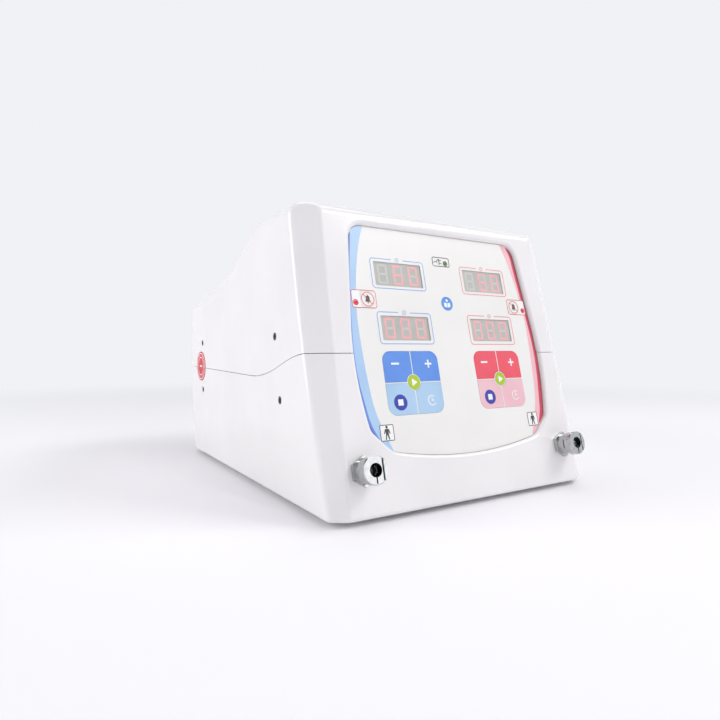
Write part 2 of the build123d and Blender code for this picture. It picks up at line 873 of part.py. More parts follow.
# Digit displays, two for each side
for side, hand in ((-1, "left"), (1, "right")):
    for v, reading in zip(window_v, ("minutes", "pressure")):
        name = f"display_{reading}_{hand}"
        with BuildPart() as display:
            with BuildSketch(face_plane.offset(-board_depth)):
                with Locations((side * window_u, v)):
                    Rectangle(module_width, module_height)
            extrude(amount=board_depth - overlay_back)
        display.part.label = name
        export_step(display.part, f"parts/{name}.step")

# Clear windows over the displays
with BuildPart() as display_windows:
    with BuildSketch(face_plane.offset(-overlay_back)):
        with Locations(*window_places()):
            RectangleRounded(
                window_width - 2 * key_clearance,
                window_height - 2 * key_clearance,
                window_corner_radius,
            )
    extrude(amount=window_thickness)
display_windows.part.label = "display_windows"
export_step(display_windows.part, "parts/display_windows.step")


def lamp(places):
    """Lamp lenses standing on the board and reaching through the overlay."""
    with BuildPart() as lens:
        with BuildSketch(face_plane.offset(-board_depth)):
            with Locations(*places):
                Circle(lamp_base_radius)
        extrude(amount=lamp_base_height)
        with BuildSketch(face_plane.offset(-board_depth)):
            with Locations(*places):
                Circle(lamp_radius)
        extrude(amount=board_depth - key_top)
        tips = lens.edges().filter_by(
            lambda edge: face_plane.to_local_coords(edge.center()).Z > -key_top - near
        )
        fillet(tips, radius=lamp_radius / 3)
    return lens


alarm_lamps = lamp(lamp_places()[:2])
alarm_lamps.part.label = "alarm_lamps"
export_step(alarm_lamps.part, "parts/alarm_lamps.step")

power_lamp = lamp(lamp_places()[2:])
power_lamp.part.label = "power_lamp"
export_step(power_lamp.part, "parts/power_lamp.step")

# Air couplings, each with its latch on the right
for side, hand in ((-1, "left"), (1, "right")):
    seat = coupling_plane(side)
    with BuildPart() as coupling:
        with BuildSketch(seat):
            RegularPolygon(radius=hex_across_flats / 2, side_count=6, major_radius=False, rotation=30)
        extrude(amount=hex_height)
        with BuildSketch(seat):
            Circle(barrel_radius)
        extrude(amount=ring_base)
        with BuildSketch(seat.offset(ring_base)):
            Circle(ring_radius)
        extrude(amount=coupling_reach - ring_base)
        ends = coupling.edges().filter_by(GeomType.CIRCLE).filter_by(
            lambda edge: abs(edge.radius - ring_radius) < near
        )
        chamfer(ends, length=ring_chamfer)
        with BuildSketch(seat):
            Circle(shank_radius)
        extrude(amount=-shank_length)
        for step in range(barb_count):
            tail = seat.offset(-shank_length - step * barb_pitch)
            with BuildSketch(tail):
                Circle(barb_radius)
            with BuildSketch(tail.offset(-barb_pitch)):
                Circle(barb_neck)
            loft()
        with BuildSketch(seat.offset(bore_floor)):
            Circle(bore_radius)
        extrude(amount=coupling_reach, mode=Mode.SUBTRACT)
        with BuildSketch(seat.offset(coupling_reach)):
            Circle(flow_radius)
        extrude(amount=-2 * coupling_reach - shank_length, mode=Mode.SUBTRACT)
        with BuildSketch(seat.offset(hex_height)):
            with Locations((0, coupling_flat + ring_radius)):
                Rectangle(4 * ring_radius, 2 * ring_radius)
        extrude(amount=coupling_reach, mode=Mode.SUBTRACT)
        with BuildSketch(seat.offset(latch_slot_base)):
            Rectangle(4 * ring_radius, 2 * latch_slot_half)
        extrude(amount=ring_base - latch_slot_base, mode=Mode.SUBTRACT)
        with BuildSketch(seat.offset(latch_slot_base)):
            with Locations((chord + ring_radius, 0)):
                Rectangle(2 * ring_radius, 4 * ring_radius)
        extrude(amount=coupling_reach, mode=Mode.SUBTRACT)
        with BuildSketch(seat.offset(ring_base)):
            with Locations((0, -(bore_radius + drain_reach) / 2)):
                Rectangle(drain_width, drain_reach - bore_radius + drain_overlap)
        extrude(amount=coupling_reach, mode=Mode.SUBTRACT)
        pocket = Plane(
            origin=seat.from_local_coords(Vector(chord, spring_v, spring_height)),
            x_dir=seat.y_dir,
            z_dir=(-1, 0, 0),
        )
        with BuildSketch(pocket):
            Circle(spring_radius + latch_clearance)
        extrude(amount=chord - spring_pocket_floor, mode=Mode.SUBTRACT)
        with BuildSketch(seat):
            Circle(seal_radius + latch_clearance)
            Circle(shank_radius, mode=Mode.SUBTRACT)
        extrude(amount=seal_height, mode=Mode.SUBTRACT)
    coupling.part.label = f"coupling_{hand}"
    export_step(coupling.part, f"parts/coupling_{hand}.step")

    with BuildPart() as latch:
        with BuildSketch(seat.offset(latch_slot_base + latch_clearance)):
            Circle(ring_radius)
            plate_length = latch_left_end + 2 * ring_radius
            with Locations((plate_length / 2 - latch_left_end, 0)):
                plate_width = 2 * (latch_slot_half - latch_clearance)
                Rectangle(plate_length, plate_width, mode=Mode.INTERSECT)
        extrude(amount=ring_base - latch_slot_base - 2 * latch_clearance)
        with BuildSketch(seat.offset(latch_slot_base + latch_clearance)):
            Circle(ring_radius)
            with Locations((chord + latch_travel + latch_clearance + ring_radius, 0)):
                Rectangle(2 * ring_radius, 4 * ring_radius, mode=Mode.INTERSECT)
            with Locations((0, coupling_flat + ring_radius)):
                Rectangle(4 * ring_radius, 2 * ring_radius, mode=Mode.SUBTRACT)
        extrude(amount=coupling_reach - latch_slot_base - latch_clearance)
        front_edges = latch.edges().filter_by(
            lambda edge: seat.to_local_coords(edge.center()).Z > coupling_reach - near
        )
        chamfer(front_edges, length=ring_chamfer / 2)
        with BuildSketch(seat):
            with Locations((latch_travel / 2, 0)):
                bore_width = 2 * (bore_radius + latch_clearance)
                SlotOverall(bore_width + latch_travel, bore_width)
        extrude(amount=ring_base, mode=Mode.SUBTRACT)
    latch.part.label = f"latch_{hand}"
    export_step(latch.part, f"parts/latch_{hand}.step")

# Latch springs, each drawn as a plain sleeve in its pocket
with BuildPart() as latch_springs:
    for side in (-1, 1):
        seat = coupling_plane(side)
        pocket_floor = Plane(
            origin=seat.from_local_coords(Vector(spring_pocket_floor, spring_v, spring_height)),
            x_dir=seat.y_dir,
            z_dir=(1, 0, 0),
        )
        with BuildSketch(pocket_floor):
            Circle(spring_radius)
            Circle(spring_radius - spring_wire, mode=Mode.SUBTRACT)
        extrude(amount=chord - spring_pocket_floor)
latch_springs.part.label = "latch_springs"
export_step(latch_springs.part, "parts/latch_springs.step")

# Coupling nuts inside the front wall, and seals under the hexagons
with BuildPart() as coupling_nuts:
    for side in (-1, 1):
        with BuildSketch(coupling_plane(side).offset(-front_wall)):
            RegularPolygon(radius=nut_across_flats / 2, side_count=6, major_radius=False)
            Circle(shank_radius + shank_clearance, mode=Mode.SUBTRACT)
        extrude(amount=-nut_height)
coupling_nuts.part.label = "coupling_nuts"
export_step(coupling_nuts.part, "parts/coupling_nuts.step")

with BuildPart() as coupling_seals:
    for side in (-1, 1):
        with BuildSketch(coupling_plane(side)):
            Circle(seal_radius)
            Circle(shank_radius + shank_clearance, mode=Mode.SUBTRACT)
        extrude(amount=seal_height)
coupling_seals.part.label = "coupling_seals"
export_step(coupling_seals.part, "parts/coupling_seals.step")

# Side screws with countersunk cross-recessed heads
with BuildPart() as side_screws:
    for place in side_screw_planes():
        head_height = (countersink_radius - screw_radius) / tan(radians(countersink_angle / 2))
        neck = place.offset(-countersink_sink - head_height)
        with BuildSketch(place.offset(-countersink_sink)):
            Circle(countersink_radius)
        with BuildSketch(neck):
            Circle(screw_radius)
        loft()
        with BuildSketch(neck):
            Circle(screw_radius)
        extrude(amount=-side_screw_length)
        with BuildSketch(place.offset(-countersink_sink)):
            Rectangle(2 * cross_reach, cross_width, rotation=45)
            Rectangle(cross_width, 2 * cross_reach, rotation=45)
        extrude(amount=-cross_depth, mode=Mode.SUBTRACT)
side_screws.part.label = "side_screws"
export_step(side_screws.part, "parts/side_screws.step")

# Red seal across the parting line
with BuildPart() as seal_label:
    with BuildSketch(outline_plane):
        with BuildLine():
            seat_arc = side_arc(-1, 0)
            outer_arc = side_arc(-1, -label_thickness)
            Line(seat_arc @ 0, outer_arc @ 0)
            Line(seat_arc @ 1, outer_arc @ 1)
        make_face()
    extrude(amount=-body_depth)
    with BuildSketch(side_plane):
        with Locations((label_y, label_z)):
            Circle(label_radius)
    extrude(amount=-half_width - margin, mode=Mode.INTERSECT)
seal_label.part.label = "seal_label"
export_step(seal_label.part, "parts/seal_label.step")

# Rubber feet and their screws
with BuildPart() as rubber_feet:
    with BuildSketch(ground_plane):
        with Locations(*foot_spots()):
            Circle(foot_radius)
    extrude(amount=-foot_height)
    soles = rubber_feet.edges().filter_by(lambda edge: edge.center().Z < floor_z - foot_height + near)
    fillet(soles, radius=foot_height / 4)
    with BuildSketch(ground_plane.offset(-foot_height)):
        with Locations(*foot_spots()):
            Circle(foot_well_radius)
    extrude(amount=foot_well_depth, mode=Mode.SUBTRACT)
    with BuildSketch(ground_plane):
        with Locations(*foot_spots()):
            Circle(screw_radius + screw_hole_clearance)
    extrude(amount=-foot_height, mode=Mode.SUBTRACT)
rubber_feet.part.label = "rubber_feet"
export_step(rubber_feet.part, "parts/rubber_feet.step")

with BuildPart() as foot_screws:
    head_plane = ground_plane.offset(foot_well_depth - foot_height)
    with BuildSketch(head_plane):
        with Locations(*foot_spots()):
            Circle(pan_head_radius)
    extrude(amount=-foot_well_depth / 2)
    with BuildSketch(head_plane):
        with Locations(*foot_spots()):
            Circle(screw_radius)
    extrude(amount=chassis_z - foot_screw_tip_gap)
    with BuildSketch(head_plane.offset(-foot_well_depth / 2)):
        with Locations(*foot_spots()):
            Rectangle(2 * cross_reach, cross_width)
            Rectangle(cross_width, 2 * cross_reach)
    extrude(amount=foot_well_depth / 4, mode=Mode.SUBTRACT)
foot_screws.part.label = "foot_screws"
export_step(foot_screws.part, "parts/foot_screws.step")

# Chassis plate on the shell's bosses
with BuildPart() as chassis_plate:
    with BuildSketch(ground_plane.offset(chassis_z)):
        with Locations((0, (chassis_front_y + chassis_back_y) / 2)):
            RectangleRounded(2 * chassis_half_width, chassis_back_y - chassis_front_y, chassis_corner)
        with Locations(*chassis_spots()):
            Circle(screw_radius + screw_hole_clearance, mode=Mode.SUBTRACT)
    extrude(amount=chassis_thickness)
chassis_plate.part.label = "chassis_plate"
export_step(chassis_plate.part, "parts/chassis_plate.step")

# Spacers that carry the main board
with BuildPart() as board_spacers:
    with BuildSketch(ground_plane.offset(chassis_top)):
        with Locations(*spacer_spots()):
            RegularPolygon(radius=spacer_radius, side_count=6, major_radius=False)
    extrude(amount=main_board_z - chassis_top)
    with BuildSketch(ground_plane.offset(main_board_z)):
        with Locations(*spacer_spots()):
            Circle(screw_radius + screw_hole_clearance)
    extrude(amount=-chassis_z, mode=Mode.SUBTRACT)
board_spacers.part.label = "board_spacers"
export_step(board_spacers.part, "parts/board_spacers.step")

# Pan head screws of the chassis, the main board and the display board
with BuildPart() as pan_screws:
    seats = [
        (ground_plane.offset(chassis_top), chassis_spots(), chassis_screw_length),
        (ground_plane.offset(main_board_z + board_thickness), spacer_spots(), spacer_screw_length),
        (
            face_plane.offset(-board_depth - board_thickness).rotated((180, 0, 0)),
            [(u, -v) for u, v in standoff_spots()],
            standoff_screw_length,
        ),
    ]
    for plane, spots, length in seats:
        with BuildSketch(plane):
            with Locations(*spots):
                Circle(pan_head_radius)
        extrude(amount=pan_head_height)
        with BuildSketch(plane):
            with Locations(*spots):
                Circle(screw_radius)
        extrude(amount=-length)
        with BuildSketch(plane.offset(pan_head_height)):
            with Locations(*spots):
                Rectangle(2 * cross_reach, cross_width)
                Rectangle(cross_width, 2 * cross_reach)
        extrude(amount=-cross_depth, mode=Mode.SUBTRACT)
pan_screws.part.label = "pan_screws"
export_step(pan_screws.part, "parts/pan_screws.step")

# Main board with its connectors, sensors and buzzer
with BuildPart() as main_board:
    board_y = (main_board_front_y + main_board_back_y) / 2
    with BuildSketch(ground_plane.offset(main_board_z)):
        with Locations((0, board_y)):
            RectangleRounded(2 * main_board_half_width, main_board_back_y - main_board_front_y, boss_radius)
        with Locations(*spacer_spots()):
            Circle(screw_radius + screw_hole_clearance, mode=Mode.SUBTRACT)
    extrude(amount=board_thickness)
    with BuildSketch(ground_plane.offset(main_board_z + board_thickness)):
        with Locations((0, board_y)):
            Rectangle(processor_width, processor_width)
        connector_y = board_y + connector_back
        with Locations((-main_board_half_width / 2, connector_y), (main_board_half_width / 2, connector_y)):
            Rectangle(*connector_size)
    extrude(amount=flat_part_height)
    sensor_x, sensor_y = sensor_place[0], board_y + sensor_place[1]
    capacitor_x, capacitor_y = capacitor_place[0], board_y + capacitor_place[1]
    with BuildSketch(ground_plane.offset(main_board_z + board_thickness)):
        with Locations((-sensor_x, sensor_y), (sensor_x, sensor_y)):
            Rectangle(*sensor_size)
        with Locations((-capacitor_x, capacitor_y), (capacitor_x, capacitor_y)):
            Circle(capacitor_radius)
    extrude(amount=tall_part_height)
    with BuildSketch(ground_plane.offset(main_board_z + board_thickness + tall_part_height)):
        with Locations((-sensor_x, sensor_y), (sensor_x, sensor_y)):
            Circle(nipple_radius)
    extrude(amount=sensor_nipple_height)
main_board.part.label = "main_board"
export_step(main_board.part, "parts/main_board.step")

# Power supply and battery
with BuildPart() as power_supply:
    with BuildSketch(ground_plane.offset(chassis_top)):
        with Locations((supply_x, supply_front_y + supply_length / 2)):
            Rectangle(supply_width, supply_length)
    extrude(amount=supply_height)
    chamfer(power_supply.edges().group_by(Axis.Z)[-1], length=supply_edge)
    supply_vents = int(supply_length / supply_vent_pitch) - 3
    with BuildSketch(ground_plane.offset(chassis_top + supply_height)):
        with Locations((supply_x, supply_front_y + supply_length / 2)):
            with GridLocations(0, supply_vent_pitch, 1, supply_vents):
                SlotOverall(supply_width - 2 * supply_vent_pitch, supply_vent_width)
    extrude(amount=-supply_vent_depth, mode=Mode.SUBTRACT)
power_supply.part.label = "power_supply"
export_step(power_supply.part, "parts/power_supply.step")

with BuildPart() as battery_pack:
    with BuildSketch(ground_plane.offset(chassis_top)):
        with Locations((battery_x, battery_front_y + battery_length / 2)):
            RectangleRounded(battery_width, battery_length, chassis_corner)
    extrude(amount=battery_height)
    fillet(battery_pack.edges().group_by(Axis.Z)[-1], radius=chassis_corner / 2)
battery_pack.part.label = "battery_pack"
export_step(battery_pack.part, "parts/battery_pack.step")

# Air pumps: head, motor and the shaft with its crank
shaft_z = chassis_top + pump_width / 2
for side, hand in ((-1, "left"), (1, "right")):
    motor_y = pump_front_y + pump_head_length
    shaft_plane = Plane(
        origin=(side * pump_x, front_y + motor_y, floor_z + shaft_z),
        x_dir=(1, 0, 0),
        z_dir=(0, 1, 0),
    )
    with BuildPart() as pump_head:
        with BuildSketch(shaft_plane):
            RectangleRounded(pump_width, pump_width, pump_corner)
        extrude(amount=-pump_head_length)
        with BuildSketch(shaft_plane.offset(-crank_room_wall)):
            Circle(crank_room_radius)
        extrude(amount=2 * crank_room_wall - pump_head_length, mode=Mode.SUBTRACT)
        with BuildSketch(shaft_plane):
            Circle(shaft_radius + shaft_clearance)
        extrude(amount=-crank_room_wall, mode=Mode.SUBTRACT)
        nipple_origin = (
            side * (pump_x + pump_width / 2),
            front_y + nipple_y,
            floor_z + chassis_top + valve_height / 2,
        )
        with BuildSketch(Plane(origin=nipple_origin, x_dir=(0, 1, 0), z_dir=(side, 0, 0))):
            Circle(nipple_radius)
        extrude(amount=valve_x - valve_width / 2 - pump_x - pump_width / 2)
    pump_head.part.label = f"pump_head_{hand}"
    export_step(pump_head.part, f"parts/pump_head_{hand}.step")

    with BuildPart() as pump_motor:
        with BuildSketch(shaft_plane):
            Circle(motor_radius)
        extrude(amount=motor_length)
        fillet(pump_motor.edges().group_by(Axis.Y)[-1], radius=motor_edge_radius)
        with BuildSketch(shaft_plane):
            Circle(shaft_radius + shaft_clearance)
        extrude(amount=motor_length / 2, mode=Mode.SUBTRACT)
    pump_motor.part.label = f"pump_motor_{hand}"
    export_step(pump_motor.part, f"parts/pump_motor_{hand}.step")

    with BuildPart() as pump_shaft:
        with BuildSketch(shaft_plane.offset(motor_length / 2 - shaft_end_gap)):
            Circle(shaft_radius)
        extrude(amount=shaft_end_gap - motor_length / 2 - pump_head_length / 2)
        with BuildSketch(shaft_plane.offset(-crank_room_wall - crank_end_gap)):
            with Locations((0, crank_offset)):
                Circle(crank_radius)
        extrude(amount=-crank_length)
    pump_shaft.part.label = f"pump_shaft_{hand}"
    export_step(pump_shaft.part, f"parts/pump_shaft_{hand}.step")

    # Valve block with its two coils and the port for the air tube
    with BuildPart() as valve_block:
        valve_y = valve_front_y + valve_length / 2
        with BuildSketch(ground_plane.offset(chassis_top)):
            with Locations((side * valve_x, valve_y)):
                Rectangle(valve_width, valve_length)
        extrude(amount=valve_height)
        with BuildSketch(ground_plane.offset(chassis_top + valve_height)):
            with Locations((side * valve_x, valve_y)):
                with GridLocations(0, valve_length / 2, 1, 2):
                    Circle(coil_radius)
        extrude(amount=coil_height)
        port_origin = (side * valve_x, front_y + valve_front_y, floor_z + port_z)
        port_plane = Plane(origin=port_origin, x_dir=(1, 0, 0), z_dir=(0, -1, 0))
        for step in range(barb_count):
            tail = port_plane.offset(step * barb_pitch)
            with BuildSketch(tail):
                Circle(barb_radius)
            with BuildSketch(tail.offset(barb_pitch)):
                Circle(barb_neck)
            loft()
    valve_block.part.label = f"valve_block_{hand}"
    export_step(valve_block.part, f"parts/valve_block_{hand}.step")

    # Air tube from the coupling's tail to the valve block
    with BuildPart() as air_tube:
        tail_plane = coupling_plane(side).offset(-shank_length)
        lead_end = tail_plane.offset(-tube_lead).origin
        middle = Vector(side * valve_x, front_y + tube_middle_y, floor_z + port_z)
        tube_end = Vector(side * valve_x, front_y + valve_front_y, floor_z + port_z)
        with BuildLine() as route:
            FilletPolyline(tail_plane.origin, lead_end, middle, tube_end, radius=tube_bend_radius)
        with BuildSketch(Plane(origin=tail_plane.origin, z_dir=route.line % 0)):
            Circle(tube_radius)
            Circle(barb_radius + tube_bore_clearance, mode=Mode.SUBTRACT)
        sweep(path=route.line)
    air_tube.part.label = f"air_tube_{hand}"
    export_step(air_tube.part, f"parts/air_tube_{hand}.step")

# Mains inlet housing, seen from the back: socket, fuse drawer above it, switch beside it
flange_plane = back_plane.offset(seat_y)
socket_centre = (socket_offset_x - inlet_x, inlet_z + socket_offset_z)
drawer_centre = (socket_offset_x - inlet_x, inlet_z + drawer_offset_z)
rocker_centre = (rocker_offset_x - inlet_x, inlet_z)
with BuildPart() as inlet_housing:
    with BuildSketch(flange_plane):
        with Locations((-inlet_x, inlet_z)):
            RectangleRounded(
                inlet_width + 2 * inlet_flange_margin,
                inlet_height + 2 * inlet_flange_margin,
                inlet_flange_margin,
            )
    extrude(amount=inlet_flange)
    chamfer(inlet_housing.edges().group_by(Axis.Y)[-1], length=inlet_face_edge)
    with BuildSketch(flange_plane):
        with Locations((-inlet_x, inlet_z)):
            Rectangle(inlet_width, inlet_height)
    extrude(amount=-inlet_depth)
    with BuildSketch(flange_plane.offset(inlet_flange)):
        with Locations(socket_centre):
            RectangleRounded(socket_width, socket_height, socket_corner)
    extrude(amount=-socket_depth, mode=Mode.SUBTRACT)
    with BuildSketch(flange_plane.offset(inlet_flange)):
        with Locations(drawer_centre):
            Rectangle(drawer_width, drawer_height)
    extrude(amount=-drawer_length - inlet_flange - drawer_clearance, mode=Mode.SUBTRACT)
    with BuildSketch(flange_plane.offset(inlet_flange)):
        with Locations(rocker_centre):
            Rectangle(rocker_width, rocker_room_height)
    extrude(amount=-inlet_flange - 3 * rocker_pivot_depth, mode=Mode.SUBTRACT)
    pivot_origin = (
        inlet_x - rocker_offset_x,
        front_y + seat_y + inlet_flange - rocker_pivot_depth,
        floor_z + inlet_z,
    )
    pivot_plane = Plane(origin=pivot_origin, x_dir=(0, 1, 0), z_dir=(1, 0, 0))
    with BuildSketch(pivot_plane):
        Circle(rocker_pin_radius + shaft_clearance)
    extrude(amount=rocker_width / 2 + rocker_pin_reach + inlet_clearance, both=True, mode=Mode.SUBTRACT)
inlet_housing.part.label = "inlet_housing"
export_step(inlet_housing.part, "parts/inlet_housing.step")

# Contact pins of the inlet
with BuildPart() as inlet_pins:
    socket_u, socket_v = socket_centre
    pin_spots = [
        (socket_u - pin_spread, socket_v - pin_drop),
        (socket_u, socket_v + pin_drop),
        (socket_u + pin_spread, socket_v - pin_drop),
    ]
    with BuildSketch(flange_plane.offset(inlet_flange - socket_depth)):
        with Locations(*pin_spots):
            RectangleRounded(pin_thickness, pin_width, pin_thickness / 4)
    extrude(amount=pin_length)
inlet_pins.part.label = "inlet_pins"
export_step(inlet_pins.part, "parts/inlet_pins.step")

# Fuse drawer, with its two fuses lying across it
with BuildPart() as fuse_drawer:
    with BuildSketch(flange_plane.offset(-drawer_length)):
        with Locations(drawer_centre):
            Rectangle(drawer_width - 2 * drawer_clearance, drawer_height - 2 * drawer_clearance)
    extrude(amount=drawer_length + inlet_flange)
    tray_length = 2 * fuse_pitch
    tray_height = 2 * (fuse_radius + fuse_clearance)
    tray_y = front_y + seat_y - drawer_length + drawer_end_wall
    tray_plane = Plane(
        origin=(-drawer_centre[0], tray_y, floor_z + drawer_centre[1]),
        x_dir=(1, 0, 0),
        z_dir=(0, 0, 1),
    )
    with BuildSketch(tray_plane.offset(-tray_height / 2)):
        with Locations((0, tray_length / 2)):
            Rectangle(fuse_length + 2 * fuse_end_gap, tray_length)
    extrude(amount=drawer_height, mode=Mode.SUBTRACT)
    with BuildSketch(flange_plane.offset(inlet_flange)):
        with Locations((drawer_centre[0], drawer_centre[1] - drawer_height / 4)):
            SlotOverall(drawer_width / 3, drawer_height / 5)
    extrude(amount=-grip_depth, mode=Mode.SUBTRACT)
fuse_drawer.part.label = "fuse_drawer"
export_step(fuse_drawer.part, "parts/fuse_drawer.step")

with BuildPart() as fuses:
    for step in range(2):
        fuse_y = (step + 0.5) * fuse_pitch
        fuse_z = fuse_lift - tray_height / 2 + fuse_radius
        fuse_origin = tray_plane.from_local_coords(Vector(-fuse_length / 2, fuse_y, fuse_z))
        with BuildSketch(Plane(origin=fuse_origin, x_dir=(0, 1, 0), z_dir=(1, 0, 0))):
            Circle(fuse_radius)
        extrude(amount=fuse_length)
fuses.part.label = "fuses"
export_step(fuses.part, "parts/fuses.step")

# Rocker switch, tilted to its off side
with BuildPart() as rocker_switch:
    with BuildSketch(pivot_plane) as rocker_side:
        with BuildLine():
            Polyline(
                (-rocker_skirt, rocker_half_height),
                (rocker_pivot_depth + rocker_crown, rocker_half_height),
                (rocker_pivot_depth - rocker_dip, 0),
                (rocker_pivot_depth + rocker_crown, -rocker_half_height),
                (-rocker_skirt, -rocker_half_height),
                (-rocker_pivot_depth, 0),
                close=True,
            )
        make_face()
    extrude(amount=rocker_width / 2 - drawer_clearance, both=True)
    with BuildSketch(pivot_plane):
        Circle(rocker_pin_radius)
    extrude(amount=rocker_width / 2 + rocker_pin_reach, both=True)
rocker_axis = Axis(pivot_origin, (1, 0, 0))
rocker_switch.part = rocker_switch.part.rotate(rocker_axis, rocker_tilt)
rocker_switch.part.label = "rocker_switch"
export_step(rocker_switch.part, "parts/rocker_switch.step")
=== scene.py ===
import bpy
import math
from mathutils import Euler, Matrix, Vector


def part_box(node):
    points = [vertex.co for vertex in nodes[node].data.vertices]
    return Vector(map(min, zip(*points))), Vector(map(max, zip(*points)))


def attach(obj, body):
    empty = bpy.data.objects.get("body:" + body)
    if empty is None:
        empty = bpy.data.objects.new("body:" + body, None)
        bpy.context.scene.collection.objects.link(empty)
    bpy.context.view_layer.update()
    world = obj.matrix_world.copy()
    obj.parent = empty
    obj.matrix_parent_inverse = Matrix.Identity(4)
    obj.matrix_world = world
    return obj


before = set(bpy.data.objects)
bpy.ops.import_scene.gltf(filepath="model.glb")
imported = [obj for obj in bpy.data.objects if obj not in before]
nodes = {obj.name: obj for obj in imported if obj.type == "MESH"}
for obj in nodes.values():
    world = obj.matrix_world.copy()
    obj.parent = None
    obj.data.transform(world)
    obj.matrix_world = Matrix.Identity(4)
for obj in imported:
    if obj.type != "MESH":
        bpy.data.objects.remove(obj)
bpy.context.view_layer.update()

hands = {"left": -1, "right": 1}

# Everything on the panel is drawn in millimetres on the sloping face:
# u runs across, v up the slope, and the level counts outwards from the bezel.
panel = {
    "rake": math.radians(13.82),
    "footHeight": 3.0,
    "depth": 3.0,             # the overlay's surface lies this far behind the bezel
    "keyDepth": 2.85,         # the key caps stand a little prouder
    "displayDepth": 3.8,      # front of the display modules, under the clear windows
    "top": 181.0,
    "shoulder": 72.4,
    "waist": (79.0, 117.0),
    "hip": (75.0, 49.5),
    "toe": (62.0, 36.8),
    "bottom": 30.1,
    "topRadius": 11.0,
    "hipRadius": 8.0,
    "toeRadius": 12.0,
    "sideSteps": 20,
    "bottomSteps": 24,
}
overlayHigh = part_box("overlay")[1] * 1000
panel["frontY"] = (
    overlayHigh.y
    - panel["top"] * math.sin(panel["rake"])
    - panel["displayDepth"] * math.cos(panel["rake"])
)


def faceMatrix(level=0.0):
    # Turns (u, v, level) in millimetres into metres in the part's frame
    sine = math.sin(panel["rake"])
    cosine = math.cos(panel["rake"])
    turn = Matrix((
        (1, 0, 0, 0),
        (0, sine, -cosine, panel["frontY"]),
        (0, cosine, sine, panel["footHeight"]),
        (0, 0, 0, 1),
    ))
    return Matrix.Scale(0.001, 4) @ turn @ Matrix.Translation((0, 0, level))


# Camera, where the photograph was taken from
camera = {
    "lens": 27.38,
    "sensor": 36.0,
    "place": (-248.1, panel["frontY"] - 255.2, 99.0),
    "pitch": -1.177,
    "yaw": -31.587,
}


def makeCamera():
    data = bpy.data.cameras.new("camera")
    data.lens = camera["lens"]
    data.sensor_width = camera["sensor"]
    data.sensor_fit = "HORIZONTAL"
    data.clip_start = 0.01
    data.clip_end = 50
    obj = bpy.data.objects.new("camera", data)
    bpy.context.scene.collection.objects.link(obj)
    obj.location = Vector(camera["place"]) * 0.001
    tilt = math.radians(90 + camera["pitch"])
    obj.rotation_euler = Euler((tilt, 0, math.radians(camera["yaw"])))
    bpy.context.scene.camera = obj
    print("camera set")


# Materials

def linear(hexColour):
    # A colour as it is seen, in hex, as the linear values that the sockets take
    values = []
    for start in (1, 3, 5):
        value = int(hexColour[start:start + 2], 16) / 255
        values.append(value / 12.92 if value <= 0.04045 else ((value + 0.055) / 1.055) ** 2.4)
    return (*values, 1.0)


def addNode(tree, kind, settings=None, links=None):
    # Settings are the node's own options or the values of its sockets
    node = tree.nodes.new(kind)
    for key, value in (settings or {}).items():
        if isinstance(key, str) and key not in node.inputs:
            setattr(node, key, value)
        else:
            node.inputs[key].default_value = value
    for key, source in (links or {}).items():
        tree.links.new(source, node.inputs[key])
    return node


def newMaterial(name):
    material = bpy.data.materials.new(name)
    material.use_nodes = True
    material.node_tree.nodes.clear()
    return material


def perMetre(millimetres):
    return 1000.0 / millimetres  # texture scale that gives a feature of this size


def plainSurface(name, look):
    # Two close tones in soft patches, a fine grain as bump, and the finish on the shader's own sockets
    material = newMaterial(name)
    tree = material.node_tree
    place = addNode(tree, "ShaderNodeTexCoord").outputs["Object"]
    patches = addNode(
        tree, "ShaderNodeTexNoise",
        {"Scale": perMetre(look["patchMm"]), "Detail": 3.0, "Roughness": 0.55},
        {"Vector": place},
    )
    tones = addNode(tree, "ShaderNodeValToRGB", None, {"Fac": patches.outputs["Fac"]})
    tones.color_ramp.elements[0].position = 0.35
    tones.color_ramp.elements[0].color = linear(look["dark"])
    tones.color_ramp.elements[1].position = 0.65
    tones.color_ramp.elements[1].color = linear(look["light"])
    grain = addNode(
        tree, "ShaderNodeTexNoise",
        {"Scale": perMetre(look.get("grainMm", 1)), "Detail": 2.0},
        {"Vector": place},
    )
    bump = addNode(
        tree, "ShaderNodeBump",
        {"Strength": look.get("bump", 0.1), "Distance": look.get("grainHeightMm", 0.02) * 0.001},
        {"Height": grain.outputs["Fac"]},
    )
    shader = addNode(
        tree, "ShaderNodeBsdfPrincipled", look["shader"],
        {"Base Color": tones.outputs["Color"], "Normal": bump.outputs["Normal"]},
    )
    addNode(tree, "ShaderNodeOutputMaterial", None, {"Surface": shader.outputs["BSDF"]})
    return material


